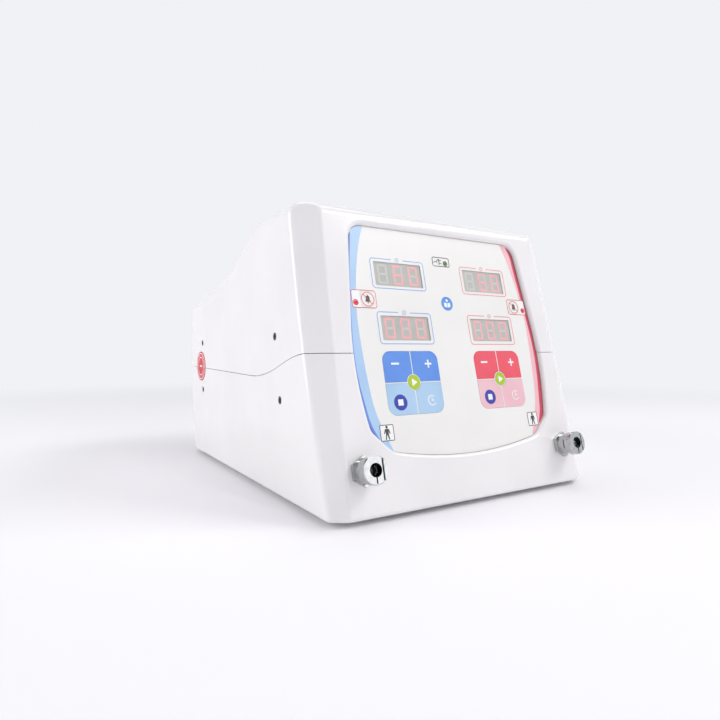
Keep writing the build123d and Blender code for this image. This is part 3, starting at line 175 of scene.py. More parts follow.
looks = {
    # Polished white ABS moulding: clean highlights with a faint orange peel from the mould
    "housingAbs": {
        "light": "#F4F1F2", "dark": "#EFECED", "patchMm": 70, "grainMm": 3.5,
        "grainHeightMm": 0.02, "bump": 0.25,
        "shader": {"Roughness": 0.2, "IOR": 1.5, "Coat Weight": 0.25, "Coat Roughness": 0.08},
    },
    # Polycarbonate film, printed from behind: even and slightly warm, with a fine velvet grain
    "overlayFilm": {
        "light": "#F4F2EF", "dark": "#F0EEEB", "patchMm": 60, "grainMm": 0.5,
        "grainHeightMm": 0.01, "bump": 0.2,
        "shader": {"Roughness": 0.34, "IOR": 1.58},
    },
    # Screen printing inks under the same film, except the two dark lines along the overlay's very edge,
    # which are painted shade
    "inkPaleBlue": {"light": "#B4D3F2", "dark": "#ACCDF0"},
    "inkEdgeBlue": {"light": "#6A8FE4", "dark": "#5F85DE"},
    # Dark blue line at the overlay's very edge: painted shade of the gap at the recess wall, with a painted
    # reflection of the band's blue
    "inkDeepBlue": {"light": "#5566B4", "dark": "#4C5DAA"},
    "inkPaleRed": {"light": "#F7C3CC", "dark": "#F4BAC4"},
    "inkEdgeRed": {"light": "#D8455C", "dark": "#CC3A51"},
    # Dark red line at the overlay's very edge: painted shade of the gap at the recess wall, with a painted
    # reflection of the band's red
    "inkDeepRed": {"light": "#84283A", "dark": "#7A2134"},
    "inkKeyBlue": {"light": "#6296E8", "dark": "#588DE4"},
    "inkKeyRed": {"light": "#F05668", "dark": "#EC4C5F"},
    "inkKeyPaleBlue": {"light": "#B2D2EF", "dark": "#AACCEC"},
    "inkKeyPaleRed": {"light": "#F2C6CE", "dark": "#EFBEC7"},
    "inkStart": {"light": "#B2CF1E", "dark": "#A9C816"},
    "inkStop": {"light": "#2E3CAC", "dark": "#2835A2"},
    "inkInfo": {"light": "#5B93E4", "dark": "#518BDF"},
    "inkWhite": {"light": "#FBFBFA", "dark": "#F6F6F5"},
    "inkLineBlue": {"light": "#86AEEA", "dark": "#7CA6E6"},
    "inkLineRed": {"light": "#EC8795", "dark": "#E87C8B"},
    "inkRed": {"light": "#D8484F", "dark": "#D03F47"},
    "inkBlack": {"light": "#3A3A3C", "dark": "#333335"},
    # Filled display resin behind a grey filter; its grey is raised to a pale tone, a painted reflection of
    # the haze that the clear window sends back
    "displayResinAndGlare": {
        "light": "#CDCDC7", "dark": "#C4C4BF", "patchMm": 18, "grainMm": 0.4,
        "grainHeightMm": 0.008, "bump": 0.15,
        "shader": {"Roughness": 0.4, "IOR": 1.5},
    },
    # Unlit segments, a little paler than the resin
    "digitDim": {
        "light": "#DEDEDA", "dark": "#D8D8D4", "patchMm": 6,
        "shader": {"Roughness": 0.45, "IOR": 1.5},
    },
    # Diffused light of lit segments: pink at this exposure
    "digitLit": {
        "light": "#FABCBE", "dark": "#F6B1B4", "patchMm": 6,
        "shader": {
            "Roughness": 0.4, "Emission Color": linear("#FF8A94"), "Emission Strength": 0.16,
        },
    },
    # Tinted polished caps of the lamps, glowing a little
    "lampRed": {
        "light": "#D8343C", "dark": "#C92C34", "patchMm": 2,
        "shader": {
            "Roughness": 0.15, "IOR": 1.5,
            "Emission Color": linear("#FF2A30"), "Emission Strength": 0.15,
        },
    },
    "lampGreen": {
        "light": "#5E8A34", "dark": "#4C7628", "patchMm": 2,
        "shader": {
            "Roughness": 0.15, "IOR": 1.5,
            "Emission Color": linear("#8AB030"), "Emission Strength": 0.08,
        },
    },
    # Black glass-filled nylon of the mains inlet, spark eroded
    "blackNylon": {
        "light": "#232325", "dark": "#1B1B1D", "patchMm": 12, "grainMm": 0.35,
        "grainHeightMm": 0.03, "bump": 0.5,
        "shader": {"Roughness": 0.5, "IOR": 1.53},
    },
    # Moulded rubber of the feet and seals
    "blackRubber": {
        "light": "#1E1E1F", "dark": "#161617", "patchMm": 8, "grainMm": 0.5,
        "grainHeightMm": 0.03, "bump": 0.4,
        "shader": {"Roughness": 0.7, "IOR": 1.52},
    },
    # Coated paper of the seal
    "sealPaper": {
        "light": "#DF3A4A", "dark": "#D63242", "patchMm": 9, "grainMm": 0.3,
        "grainHeightMm": 0.01, "bump": 0.2,
        "shader": {"Roughness": 0.5, "IOR": 1.5},
    },
    # Green lacquer of the circuit boards
    "solderMask": {
        "light": "#2C6B45", "dark": "#255F3C", "patchMm": 5, "grainMm": 0.8,
        "grainHeightMm": 0.02, "bump": 0.3,
        "shader": {"Roughness": 0.35, "IOR": 1.5},
    },
    # Shrunk film round the battery
    "shrinkWrap": {
        "light": "#2A3F73", "dark": "#233767", "patchMm": 15, "grainMm": 2,
        "grainHeightMm": 0.03, "bump": 0.3,
        "shader": {"Roughness": 0.3, "IOR": 1.5},
    },
    # Soft milky silicone of the air tubes
    "siliconeHose": {
        "light": "#D9D9D4", "dark": "#CFCFCA", "patchMm": 10, "grainMm": 1,
        "grainHeightMm": 0.02, "bump": 0.2,
        "shader": {
            "Roughness": 0.4, "IOR": 1.41,
            "Subsurface Weight": 0.2, "Subsurface Radius": (0.003, 0.003, 0.003),
        },
    },
}
inkFinish = {
    "patchMm": 25, "grainMm": 0.5, "grainHeightMm": 0.01, "bump": 0.2,
    "shader": {"Roughness": 0.34, "IOR": 1.58},
}


waveRate = 20     # radians that the wave texture runs through in one unit


def metalSurface(name, look):
    # Bare or plated metal: tool marks as bump, and soft patches in tone and roughness.
    # The marks come round every six or seven times markMm.
    material = newMaterial(name)
    tree = material.node_tree
    coordinates = addNode(tree, "ShaderNodeTexCoord").outputs["Object"]
    place = addNode(
        tree, "ShaderNodeMapping",
        {
            "vector_type": "TEXTURE",
            "Location": look.get("centre", (0, 0, 0)),
            "Rotation": look.get("turn", (0, 0, 0)),
        },
        {"Vector": coordinates},
    )
    marks = addNode(
        tree, "ShaderNodeTexWave",
        {
            "wave_type": look.get("wave", "BANDS"),
            "rings_direction": "Z", "bands_direction": "DIAGONAL",
            "Scale": perMetre(look["markMm"]) / waveRate,
            "Distortion": 1.5, "Detail": 3.0, "Detail Scale": 2.0,
        },
        {"Vector": place.outputs["Vector"]},
    )
    mottle = addNode(
        tree, "ShaderNodeTexNoise",
        {"Scale": perMetre(look["patchMm"]), "Detail": 4.0},
        {"Vector": coordinates},
    )
    polished, dull = look["roughness"]
    gloss = addNode(
        tree, "ShaderNodeMapRange",
        {"From Min": 0.3, "From Max": 0.7, "To Min": polished, "To Max": dull},
        {"Value": mottle.outputs["Fac"]},
    )
    tones = addNode(tree, "ShaderNodeValToRGB", None, {"Fac": mottle.outputs["Fac"]})
    tones.color_ramp.elements[0].position = 0.3
    tones.color_ramp.elements[0].color = linear(look["dark"])
    tones.color_ramp.elements[1].position = 0.7
    tones.color_ramp.elements[1].color = linear(look["light"])
    bump = addNode(
        tree, "ShaderNodeBump",
        {"Strength": look["bump"], "Distance": look.get("markHeightMm", 0.02) * 0.001},
        {"Height": marks.outputs["Fac"]},
    )
    shader = addNode(tree, "ShaderNodeBsdfPrincipled", {"Metallic": 1.0}, {
        "Base Color": tones.outputs["Color"],
        "Roughness": gloss.outputs["Result"],
        "Normal": bump.outputs["Normal"],
    })
    addNode(tree, "ShaderNodeOutputMaterial", None, {"Surface": shader.outputs["BSDF"]})
    return material


metals = {
    # Blackened steel of the side screws
    "blackSteel": {
        "light": "#5C5C5F", "dark": "#434346", "markMm": 0.4, "patchMm": 2,
        "roughness": (0.3, 0.45), "bump": 0.3,
    },
    # Zinc plated steel screws and plates
    "zincSteel": {
        "light": "#C4C5C6", "dark": "#A9AAAC", "markMm": 0.4, "patchMm": 3,
        "roughness": (0.25, 0.4), "bump": 0.3,
    },
    # Bare aluminium sheet of the chassis and cases
    "sheetAluminium": {
        "light": "#CFD0D2", "dark": "#BFC0C3", "markMm": 0.6, "patchMm": 12,
        "roughness": (0.3, 0.45), "bump": 0.3,
    },
    # Turned brass of the standoffs, nuts and contact pins
    "turnedBrass": {
        "light": "#D8BE78", "dark": "#C4A660", "markMm": 0.3, "patchMm": 3,
        "roughness": (0.22, 0.35), "bump": 0.3,
    },
}
coupling = {
    "u": 85.0,
    "v": 27.4,
    "look": {
        # Turned brass under chrome plate: neutral grey, with rings from the lathe
        "light": "#C6C7C8", "dark": "#B4B5B6", "markMm": 0.35, "patchMm": 2.5,
        "roughness": (0.05, 0.13), "bump": 0.3, "wave": "RINGS",
    },
    # Ring in the bore: radius to the middle of its round section, and the section's own radius
    "seal": {
        "radius": 3.3, "section": 0.65, "level": 5.5, "corners": 12, "steps": 48, "merge": 0.001,
    },
}
# Clear cast acrylic of the windows
acrylic = {
    "clear": (0.95, 0.95, 0.95, 1),
    "roughness": 0.06,
    "straightOn": 0.04,    # share of the light that the surface sends straight back
    "rippleMm": 9,
    "rippleHeightMm": 0.01,
}


def clearWindow(name):
    # Light passes straight through, and the front face keeps its gloss
    material = newMaterial(name)
    tree = material.node_tree
    place = addNode(tree, "ShaderNodeTexCoord").outputs["Object"]
    ripple = addNode(
        tree, "ShaderNodeTexNoise",
        {"Scale": perMetre(acrylic["rippleMm"]), "Detail": 1.0},
        {"Vector": place},
    )
    bump = addNode(
        tree, "ShaderNodeBump",
        {"Strength": 0.1, "Distance": acrylic["rippleHeightMm"] * 0.001},
        {"Height": ripple.outputs["Fac"]},
    )
    clear = addNode(tree, "ShaderNodeBsdfTransparent", {"Color": acrylic["clear"]})
    gloss = addNode(
        tree, "ShaderNodeBsdfGlossy",
        {"Roughness": acrylic["roughness"]},
        {"Normal": bump.outputs["Normal"]},
    )
    # The gloss grows with the fifth power of the slant, from both sides of the surface
    facing = addNode(tree, "ShaderNodeLayerWeight", {"Blend": 0.5}, {"Normal": bump.outputs["Normal"]})
    steep = addNode(
        tree, "ShaderNodeMath", {"operation": "POWER", 1: 5.0}, {0: facing.outputs["Facing"]},
    )
    edge = addNode(
        tree, "ShaderNodeMapRange",
        {"To Min": acrylic["straightOn"], "To Max": 1.0},
        {"Value": steep.outputs["Value"]},
    )
    mix = addNode(tree, "ShaderNodeMixShader", None, {
        0: edge.outputs["Result"], 1: clear.outputs["BSDF"], 2: gloss.outputs["BSDF"],
    })
    addNode(tree, "ShaderNodeOutputMaterial", None, {"Surface": mix.outputs["Shader"]})
    return material


def makeMaterials():
    made = {"clearWindow": clearWindow("clearWindow")}
    for name, look in looks.items():
        made[name] = plainSurface(name, {**inkFinish, **look} if name.startswith("ink") else look)
    for name, look in metals.items():
        made[name] = metalSurface(name, look)
    for hand, side in hands.items():
        centre = faceMatrix() @ Vector((side * coupling["u"], coupling["v"], 0))
        turn = (math.pi / 2 - panel["rake"], 0, 0)
        look = {**coupling["look"], "centre": centre, "turn": turn}
        name = "chromePlate" + hand.title()
        made[name] = metalSurface(name, look)
    print("materials made:", len(made))
    return made


materials = makeMaterials()

nodeFinishes = {
    "housingAbs": ["upper_shell", "lower_shell"],
    "overlayFilm": ["overlay", "panel_carrier", "key_mute_left", "key_mute_right"],
    "inkKeyBlue": ["key_minus_left", "key_plus_left"],
    "inkKeyPaleBlue": ["key_stop_left", "key_timer_left"],
    "inkKeyRed": ["key_minus_right", "key_plus_right"],
    "inkKeyPaleRed": ["key_stop_right", "key_timer_right"],
    "inkStart": ["key_start_left", "key_start_right"],
    "displayResinAndGlare": [
        "display_minutes_left", "display_minutes_right",
        "display_pressure_left", "display_pressure_right",
    ],
    "clearWindow": ["display_windows", "fuses"],
    "lampRed": ["alarm_lamps"],
    "lampGreen": ["power_lamp"],
    "chromePlateLeft": ["coupling_left", "latch_left"],
    "chromePlateRight": ["coupling_right", "latch_right"],
    "blackSteel": ["side_screws"],
    "zincSteel": [
        "joining_plates", "latch_springs", "foot_screws", "pan_screws",
        "pump_shaft_left", "pump_shaft_right",
    ],
    "turnedBrass": ["panel_standoffs", "board_spacers", "coupling_nuts", "inlet_pins"],
    "sheetAluminium": ["chassis_plate", "power_supply", "pump_motor_left", "pump_motor_right"],
    "solderMask": ["display_board", "main_board"],
    "shrinkWrap": ["battery_pack"],
    "siliconeHose": ["air_tube_left", "air_tube_right"],
    "sealPaper": ["seal_label"],
    "blackRubber": ["rubber_feet", "coupling_seals"],
    "blackNylon": [
        "inlet_housing", "fuse_drawer", "rocker_switch", "key_switches",
        "pump_head_left", "pump_head_right", "valve_block_left", "valve_block_right",
    ],
}


def finishNodes():
    left = set(nodes)
    for name, members in nodeFinishes.items():
        for member in members:
            obj = nodes[member]
            if not obj.data.materials:
                obj.data.materials.append(None)
            for holder in obj.material_slots:
                holder.material = materials[name]
            left.discard(member)
    print("nodes finished:", len(nodes) - len(left), "left over:", sorted(left))


# Outlines in the plane, as lists of points

def circle(u, v, radius, steps=48):
    points = []
    for step in range(steps):
        angle = 2 * math.pi * step / steps
        points.append((u + radius * math.cos(angle), v + radius * math.sin(angle)))
    return points


def arc(u, v, radius, start, end, steps):
    points = []
    for step in range(steps + 1):
        angle = math.radians(start + (end - start) * step / steps)
        points.append((u + radius * math.cos(angle), v + radius * math.sin(angle)))
    return points


def roundCorners(corners, steps=8):
    # Each corner is (u, v, radius); a radius of zero keeps it sharp
    points = []
    for index, (u, v, radius) in enumerate(corners):
        here = Vector((u, v))
        if not radius:
            points.append((u, v))
            continue
        before = (Vector(corners[index - 1][:2]) - here).normalized()
        after = (Vector(corners[(index + 1) % len(corners)][:2]) - here).normalized()
        half = math.acos(max(-1, min(1, before.dot(after)))) / 2
        centre = here + (before + after).normalized() * radius / math.sin(half)
        start = here + before * radius / math.tan(half) - centre
        end = here + after * radius / math.tan(half) - centre
        for step in range(steps + 1):
            points.append(tuple(centre + start.slerp(end, step / steps) * radius))
    return points


def roundBox(u, v, width, height, radius):
    corners = [(-1, -1), (1, -1), (1, 1), (-1, 1)]
    return roundCorners([(u + a * width / 2, v + b * height / 2, radius) for a, b in corners])


def offsetLoop(points, distance):
    # Moves a closed outline sideways; positive is to the right of its direction
    moved = []
    for index, point in enumerate(points):
        before = Vector(point) - Vector(points[index - 1])
        after = Vector(points[(index + 1) % len(points)]) - Vector(point)
        along = (before.normalized() + after.normalized()).normalized()
        side = Vector((along.y, -along.x))
        stretch = max(0.5, side.dot(Vector((before.y, -before.x)).normalized()))
        moved.append(tuple(Vector(point) + side * distance / stretch))
    return moved


def stroke(points, width):
    # A line of this width along an open path, as a closed outline
    right, left = [], []
    for index, point in enumerate(points):
        here = Vector(point)
        before = here - Vector(points[index - 1]) if index else Vector(points[1]) - here
        after = Vector(points[index + 1]) - here if index < len(points) - 1 else before
        along = (before.normalized() + after.normalized()).normalized()
        side = Vector((along.y, -along.x)) * width / 2
        side /= max(0.5, side.normalized().dot(Vector((before.y, -before.x)).normalized()))
        right.append(tuple(here + side))
        left.append(tuple(here - side))
    return right + left[::-1]


def smoothThrough(points, steps=8):
    # A smooth line through a few points
    line = []
    padded = [points[0]] + points + [points[-1]]
    for index in range(1, len(padded) - 2):
        a, b, c, d = (Vector(point) for point in padded[index - 1:index + 3])
        for step in range(steps):
            t = step / steps
            bend = 2 * a - 5 * b + 4 * c - d
            twist = 3 * b - a - 3 * c + d
            line.append(tuple(0.5 * (2 * b + (c - a) * t + bend * t * t + twist * t ** 3)))
    return line + [tuple(points[-1])]


def shifted(points, u, v, turn=0.0):
    # Turned by so many degrees about the origin, then moved
    cosine, sine = math.cos(math.radians(turn)), math.sin(math.radians(turn))
    return [(u + a * cosine - b * sine, v + a * sine + b * cosine) for a, b in points]


def mirrored(points):
    return [(-u, v) for u, v in reversed(points)]


# Printed pieces: thin flat solids that stand a few hundredths of a millimetre proud

ink = {
    "thickness": 0.07,
    "sunk": 0.02,      # depth of the underside in the surface that it is printed on
    "layer": 0.03,     # step from one print to the next over it
    "merge": 0.002,    # points closer than this become one
}


def flatPiece(name, loops, material, level=0.0, thickness=None, body="console", matrix=None):
    data = bpy.data.curves.new(name, "CURVE")
    data.dimensions = "2D"
    data.fill_mode = "BOTH"
    thick = thickness or ink["thickness"]
    data.extrude = thick / 2
    for loop in loops:
        spline = data.splines.new("POLY")
        spline.points.add(len(loop) - 1)
        for point, (u, v) in zip(spline.points, loop):
            point.co = (u, v, 0, 1)
        spline.use_cyclic_u = True
    obj = bpy.data.objects.new(name, data)
    bpy.context.scene.collection.objects.link(obj)
    bpy.ops.object.select_all(action="DESELECT")
    obj.select_set(True)
    bpy.context.view_layer.objects.active = obj
    bpy.ops.object.convert(target="MESH")
    obj = bpy.context.view_layer.objects.active
    obj.name = name
    bpy.ops.object.mode_set(mode="EDIT")
    bpy.ops.mesh.select_all(action="SELECT")
    bpy.ops.mesh.remove_doubles(threshold=ink["merge"])
    bpy.ops.mesh.normals_make_consistent(inside=False)
    bpy.ops.object.mode_set(mode="OBJECT")
    lift = Matrix.Translation((0, 0, thick / 2 - ink["sunk"]))
    obj.data.transform((matrix or faceMatrix(level)) @ lift)
    obj.data.materials.clear()
    obj.data.materials.append(materials[material])
    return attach(obj, body)


def overlayPiece(name, loops, material, layer=0):
    return flatPiece(name, loops, material, ink["layer"] * layer - panel["depth"])


def keyPiece(name, loops, material, key, layer=0):
    return flatPiece(name, loops, material, ink["layer"] * layer - panel["keyDepth"], body=key)


def panelHalf(inset):
    # The overlay's right edge from the top centre to the bottom centre, drawn in by an inset
    shoulder = Vector((panel["shoulder"], panel["top"]))
    waist = Vector(panel["waist"])
    hip = Vector(panel["hip"])
    down = (waist - shoulder).normalized()
    inward = Vector((down.y, -down.x))
    chord = hip - waist
    radius = chord.length_squared / (2 * inward.dot(chord))
    centre = waist + inward * radius
    first = waist - centre
    last = hip - centre
    steps = panel["sideSteps"]
    side = [centre + first.slerp(last, step / steps) * radius for step in range(steps)]
    toe = Vector(panel["toe"])
    floor = (toe.x ** 2 + (toe.y - panel["bottom"]) ** 2) / (2 * (toe.y - panel["bottom"]))
    sweep = math.degrees(math.asin(toe.x / floor))
    bottom = arc(0, panel["bottom"] + floor, floor, sweep - 90, -90, panel["bottomSteps"])[1:]
    corners = [(0, panel["top"], 0), (*shoulder, panel["topRadius"])]
    corners += [(*point, 0) for point in side]
    corners += [(*hip, panel["hipRadius"]), (*toe, panel["toeRadius"])]
    corners += [(*point, 0) for point in bottom]
    half = roundCorners(corners)
    return offsetLoop(half + mirrored(half)[1:-1], inset)[:len(half)]


sideBand = {
    "inset": 0.15,
    "inner": [
        (61.5, 180.8), (66.0, 168), (69.8, 152), (72.1, 138), (73.7, 122),
        (73.6, 104), (72.3, 82.5), (69.8, 62.5), (64.5, 47), (59.6, 35.5),
    ],
    # Strips along the edge: height on the panel and width of the strip there
    "edgeLeft": [
        (175, 0.5), (160, 0.45), (140, 0.5), (117, 0.55), (95, 0.7),
        (78, 1.0), (64, 1.7), (54, 2.1), (47, 1.6), (44.5, 0.6),
    ],
    "edgeRight": [
        (179, 1.2), (172, 3.1), (160, 3.1), (140, 2.7), (117, 2.6),
        (98, 2.6), (80, 3.1), (64, 3.5), (54, 3.4), (47, 2.4), (44.5, 0.8),
    ],
    # Thin dark lines at the very edge, height and width as above: painted shade of the gap at the recess
    # wall, with a painted reflection of the band's colour
    "deepLeft": [(176, 0.22), (140, 0.2), (100, 0.2), (70, 0.45), (54, 0.7), (47, 0.3)],
    "deepRight": [(178, 0.7), (170, 1.1), (155, 0.9), (135, 0.6), (100, 0.45), (70, 0.4), (50, 0.3)],
}


def outlineReach(outline, v):
    # Where the overlay's edge runs at a height
    for (u0, v0), (u1, v1) in zip(outline, outline[1:]):
        if v1 <= v <= v0 and v0 > v1:
            return u0 + (u1 - u0) * (v0 - v) / (v0 - v1)
    return outline[-1][0]


def edgePart(inner, outline):
    # Region between the overlay's edge, in steps of about 1 mm, and a smooth line from high to low
    fine = []
    for here, there in zip(outline, outline[1:]):
        count = max(1, int((Vector(there) - Vector(here)).length))
        fine += [tuple(Vector(here).lerp(Vector(there), step / count)) for step in range(count)]
    first, last = inner[0], inner[-1]
    edge = []
    for u, v in fine:
        if u > min(first[0], last[0]) and (v < first[1] or u > first[0]) and (v > last[1] or u > last[0]):
            edge.append((u, v))
    return edge + smoothThrough(inner)[::-1]


def makeSideBands():
    outline = panelHalf(sideBand["inset"])
    for hand, colour in (("left", "Blue"), ("right", "Red")):
        tag = hand.title()
        parts = {"Band": (sideBand["inner"], "Pale")}
        # The edge strip is print; the thin dark line laid over it at the very edge is painted recess shade
        for part in ("Edge", "Deep"):
            widths = sideBand[part.lower() + tag]
            parts[part] = ([(outlineReach(outline, v) - width, v) for v, width in widths], part)
        for layer, (part, (inner, tone)) in enumerate(parts.items()):
            loop = edgePart(inner, outline)
            if hand == "left":
                loop = mirrored(loop)
            overlayPiece(f"side{part}{tag}", [loop], f"ink{tone}{colour}", layer=layer)
    print("side bands printed")


displayFrame = {
    "u": 37.7,
    "width": 42.6,
    "line": 0.55,
    "radius": 2.2,
    "rows": {
        "minutes": {"low": 139.5, "high": 159.6, "window": 149.5, "reading": " 60"},
        "pressure": {"low": 102.8, "high": 123.6, "window": 113.2, "reading": "000"},
    },
    "gap": 9.6,                  # the line is open here, round the mark of the unit
    "face": (37.6, 15.8, 0.6),   # width, height and corner radius of the resin face
    "faceLift": 0.05,
}
digit = {
    "height": 13.4,
    "width": 7.6,
    "bar": 1.4,
    "pitch": 12.3,
    "gap": 0.12,
    "lit": {" ": "", "0": "abcdef", "6": "acdefg"},
}


def segmentLoops(u, v):
    # The seven bars of a digit, mitred where they meet
    half = digit["bar"] / 2
    gap = digit["gap"]
    right = digit["width"] / 2
    top = digit["height"] / 2
    inner = right - 2 * half
    under = top - 2 * half
    over = [(gap - right, top), (right - gap, top), (inner - gap, under), (gap - inner, under)]
    side = [
        (right, top - gap), (inner, under - gap), (inner, half + gap),
        (right - half, gap), (right, gap),
    ]
    middle = [(half + gap - right, 0), (gap - inner, -half), (inner - gap, -half)]
    bars = {
        "a": over,
        "b": side,
        "c": [(x, -y) for x, y in side],
        "d": [(x, -y) for x, y in over],
        "e": [(-x, -y) for x, y in side],
        "f": mirrored(side),
        "g": middle + [(-x, -y) for x, y in middle],
    }
    return {name: shifted(bar, u, v) for name, bar in bars.items()}


unitMark = {
    "ring": (1.5, 1.15),
    # A small clock for minutes and a small gauge for pressure: hands or needle, and its line
    "minutes": ([(0, 0.85), (0, 0), (0.6, 0)], 0.3),
    "pressure": ([(-0.55, -0.55), (0.6, 0.6)], 0.34),
}


def unitLoops(row, u, v):
    hand, line = unitMark[row]
    ring = [circle(u, v, radius, 24) for radius in unitMark["ring"]]
    return ring + [stroke(shifted(hand, u, v), line)]


def makeDisplays():
    for hand, side in hands.items():
        lineInk = "inkLineBlue" if hand == "left" else "inkLineRed"
        for row, place in displayFrame["rows"].items():
            tag = row.title() + hand.title()
            u = side * displayFrame["u"]
            low, high = place["low"], place["high"]
            loop = roundBox(u, (low + high) / 2, displayFrame["width"], high - low, displayFrame["radius"])
            topLeft = 3 * len(loop) // 4
            path = [(u - displayFrame["gap"] / 2, high)]
            path += loop[topLeft:] + loop[:topLeft]
            path += [(u + displayFrame["gap"] / 2, high)]
            overlayPiece(f"frame{tag}", [stroke(path, displayFrame["line"])], lineInk)
            overlayPiece(f"unit{tag}", unitLoops(row, u, high), lineInk)
            lit, dim = [], []
            for index, character in enumerate(place["reading"]):
                bars = segmentLoops(u + (index - 1) * digit["pitch"], place["window"])
                for segment, bar in bars.items():
                    target = lit if segment in digit["lit"][character] else dim
                    target.append(bar)
            level = -panel["displayDepth"] + displayFrame["faceLift"]
            # Resin face, in the pale tone that holds a painted reflection of the window's haze
            face = roundBox(u, place["window"], *displayFrame["face"])
            flatPiece(f"displayFace{tag}", [face], "displayResinAndGlare", level)
            level += ink["layer"]
            flatPiece(f"digitsLit{tag}", lit, "digitLit", level)
            flatPiece(f"digitsDim{tag}", dim, "digitDim", level)
    print("displays drawn")


keys = {
    # The start key is the middle of its group, and its neighbours' prints are placed from it
    "u": 37.9,
    "v": 77.8,
    "rib": {
        "width": 0.56, "across": 21.5, "up": 19.9, "ringOuter": 5.14, "ringInner": 4.82,
        "gap": 0.04, "thickness": 0.16,
    },
    "minus": {"at": (-12.7, 12.2), "width": 6.0, "bar": 1.3, "corner": 0.2},
    "plus": {"at": (13.4, 11.8), "width": 5.4, "bar": 1.15},
    "stop": {"at": (-12.4, -12.3), "disc": 5.0, "square": 3.9, "corner": 0.3},
    "timer": {"at": (12.4, -12.1), "radius": 3.1, "dial": (50, 325), "hands": (1.9, 1.5), "bar": 0.55},
    "start": {"at": (0, 0), "back": 1.55, "nose": 2.625, "half": 2.5, "corner": 0.25},
    # The mute key stands apart, and its place is its own
    "mute": {"at": (64.5, 131.5), "radius": 4.75, "line": 0.42, "slash": 3.23},
}


def plusLoop(u, v, width, bar):
    w, b = width / 2, bar / 2
    shape = [
        (-w, -b), (-b, -b), (-b, -w), (b, -w), (b, -b), (w, -b),
        (w, b), (b, b), (b, w), (-b, w), (-b, b), (-w, b),
    ]
    return shifted(shape, u, v)


def bellLoops(u, v):
    # A bell with its clapper
    shape = [(-2.0, -1.7), (2.0, -1.7), (2.0, -1.25), (1.5, -0.9), (1.4, 0.9)]
    shape += arc(0, 0.9, 1.4, 0, 180, 10)[1:-1] + [(-1.4, 0.9), (-1.5, -0.9), (-2.0, -1.25)]
    return [shifted(shape, u, v), circle(u, v - 2.3, 0.5, 16), circle(u, v + 2.55, 0.35, 12)]


def makeKeyRibs():
    # White print on the ribs of the overlay between four keys and round the start key
    rib = keys["rib"]
    for hand, side in hands.items():
        u, v = side * keys["u"], keys["v"]
        loops = [circle(u, v, rib["ringOuter"]), circle(u, v, rib["ringInner"])]
        near = rib["ringOuter"] + rib["gap"]
        for sign in (-1, 1):
            level = [(u + sign * near, v), (u + sign * rib["across"], v)]
            upright = [(u, v + sign * near), (u, v + sign * rib["up"])]
            loops += [stroke(level, rib["width"]), stroke(upright, rib["width"])]
        flatPiece(f"keyRibs{hand.title()}", loops, "inkWhite", -panel["depth"], rib["thickness"])
    print("key ribs printed")


def keyPlace(key, side):
    # Middle of a key's print in the left or right group
    u, v = key["at"]
    return side * keys["u"] + u, keys["v"] + v


def makeKeyPrints():
    for hand, side in hands.items():
        tag = hand.title()
        key = keys["minus"]
        bar = roundBox(*keyPlace(key, side), key["width"], key["bar"], key["corner"])
        keyPiece(f"minusPrint{tag}", [bar], "inkWhite", f"key_minus_{hand}")
        key = keys["plus"]
        cross = plusLoop(*keyPlace(key, side), key["width"], key["bar"])
        keyPiece(f"plusPrint{tag}", [cross], "inkWhite", f"key_plus_{hand}")
        key = keys["stop"]
        disc = circle(*keyPlace(key, side), key["disc"])
        square = roundBox(*keyPlace(key, side), key["square"], key["square"], key["corner"])
        keyPiece(f"stopDisc{tag}", [disc], "inkStop", f"key_stop_{hand}")
        keyPiece(f"stopSquare{tag}", [square], "inkWhite", f"key_stop_{hand}", layer=1)
        key = keys["timer"]
        u, v = keyPlace(key, side)
        up, across = key["hands"]
        dial = stroke(arc(u, v, key["radius"], *key["dial"], 32), key["bar"])
        pointers = stroke([(u, v + up), (u, v), (u + across, v)], key["bar"])
        keyPiece(f"timerPrint{tag}", [dial, pointers], "inkWhite", f"key_timer_{hand}")
        key = keys["start"]
        u, v = keyPlace(key, side)
        back, nose, half, corner = u - key["back"], u + key["nose"], key["half"], key["corner"]
        triangle = roundCorners([(back, v - half, corner), (nose, v, corner), (back, v + half, corner)])
        keyPiece(f"startPrint{tag}", [triangle], "inkWhite", f"key_start_{hand}")
        key = keys["mute"]
        u, v = side * key["at"][0], key["at"][1]
        ring = [circle(u, v, key["radius"]), circle(u, v, key["radius"] - key["line"])]
        reach = key["slash"]
        slash = stroke([(u - reach, v + reach), (u + reach, v - reach)], key["line"])
        keyPiece(f"muteBell{tag}", bellLoops(u, v), "inkBlack", f"key_mute_{hand}")
        keyPiece(f"muteRing{tag}", ring, "inkRed", f"key_mute_{hand}", layer=1)
        keyPiece(f"muteSlash{tag}", [slash], "inkRed", f"key_mute_{hand}", layer=2)
    print("key prints made")


marks = {
    "muteBox": {"u": 67.2, "v": 131.5, "width": 18.3, "height": 11.8, "radius": 2.0, "line": 0.45},
    "figureBox": {"u": 63.3, "v": 47.8, "width": 10.0, "height": 9.8, "radius": 0.8, "line": 0.45},
    "mainsBox": {"u": 0.3, "v": 161.7, "width": 15.2, "height": 7.0, "radius": 1.6, "line": 0.55},
    "muteWindow": {"u": 64.6, "v": 131.6, "width": 10.4, "height": 10.8, "radius": 2.2},
    "alarmLamp": {"u": 73.6, "v": 129.1, "hole": 1.55, "rim": (2.0, 1.46)},
    "mainsLamp": {"rim": (1.95, 1.5)},
    "plug": {"u": -1.3, "v": 161.7},
    "infoDisc": {"u": 0.0, "v": 131.4, "radius": 5.0},
}


def markBox(mark, side=1, inset=0.0):
    width, height = mark["width"] - 2 * inset, mark["height"] - 2 * inset
    return roundBox(side * mark["u"], mark["v"], width, height, mark["radius"] - inset)


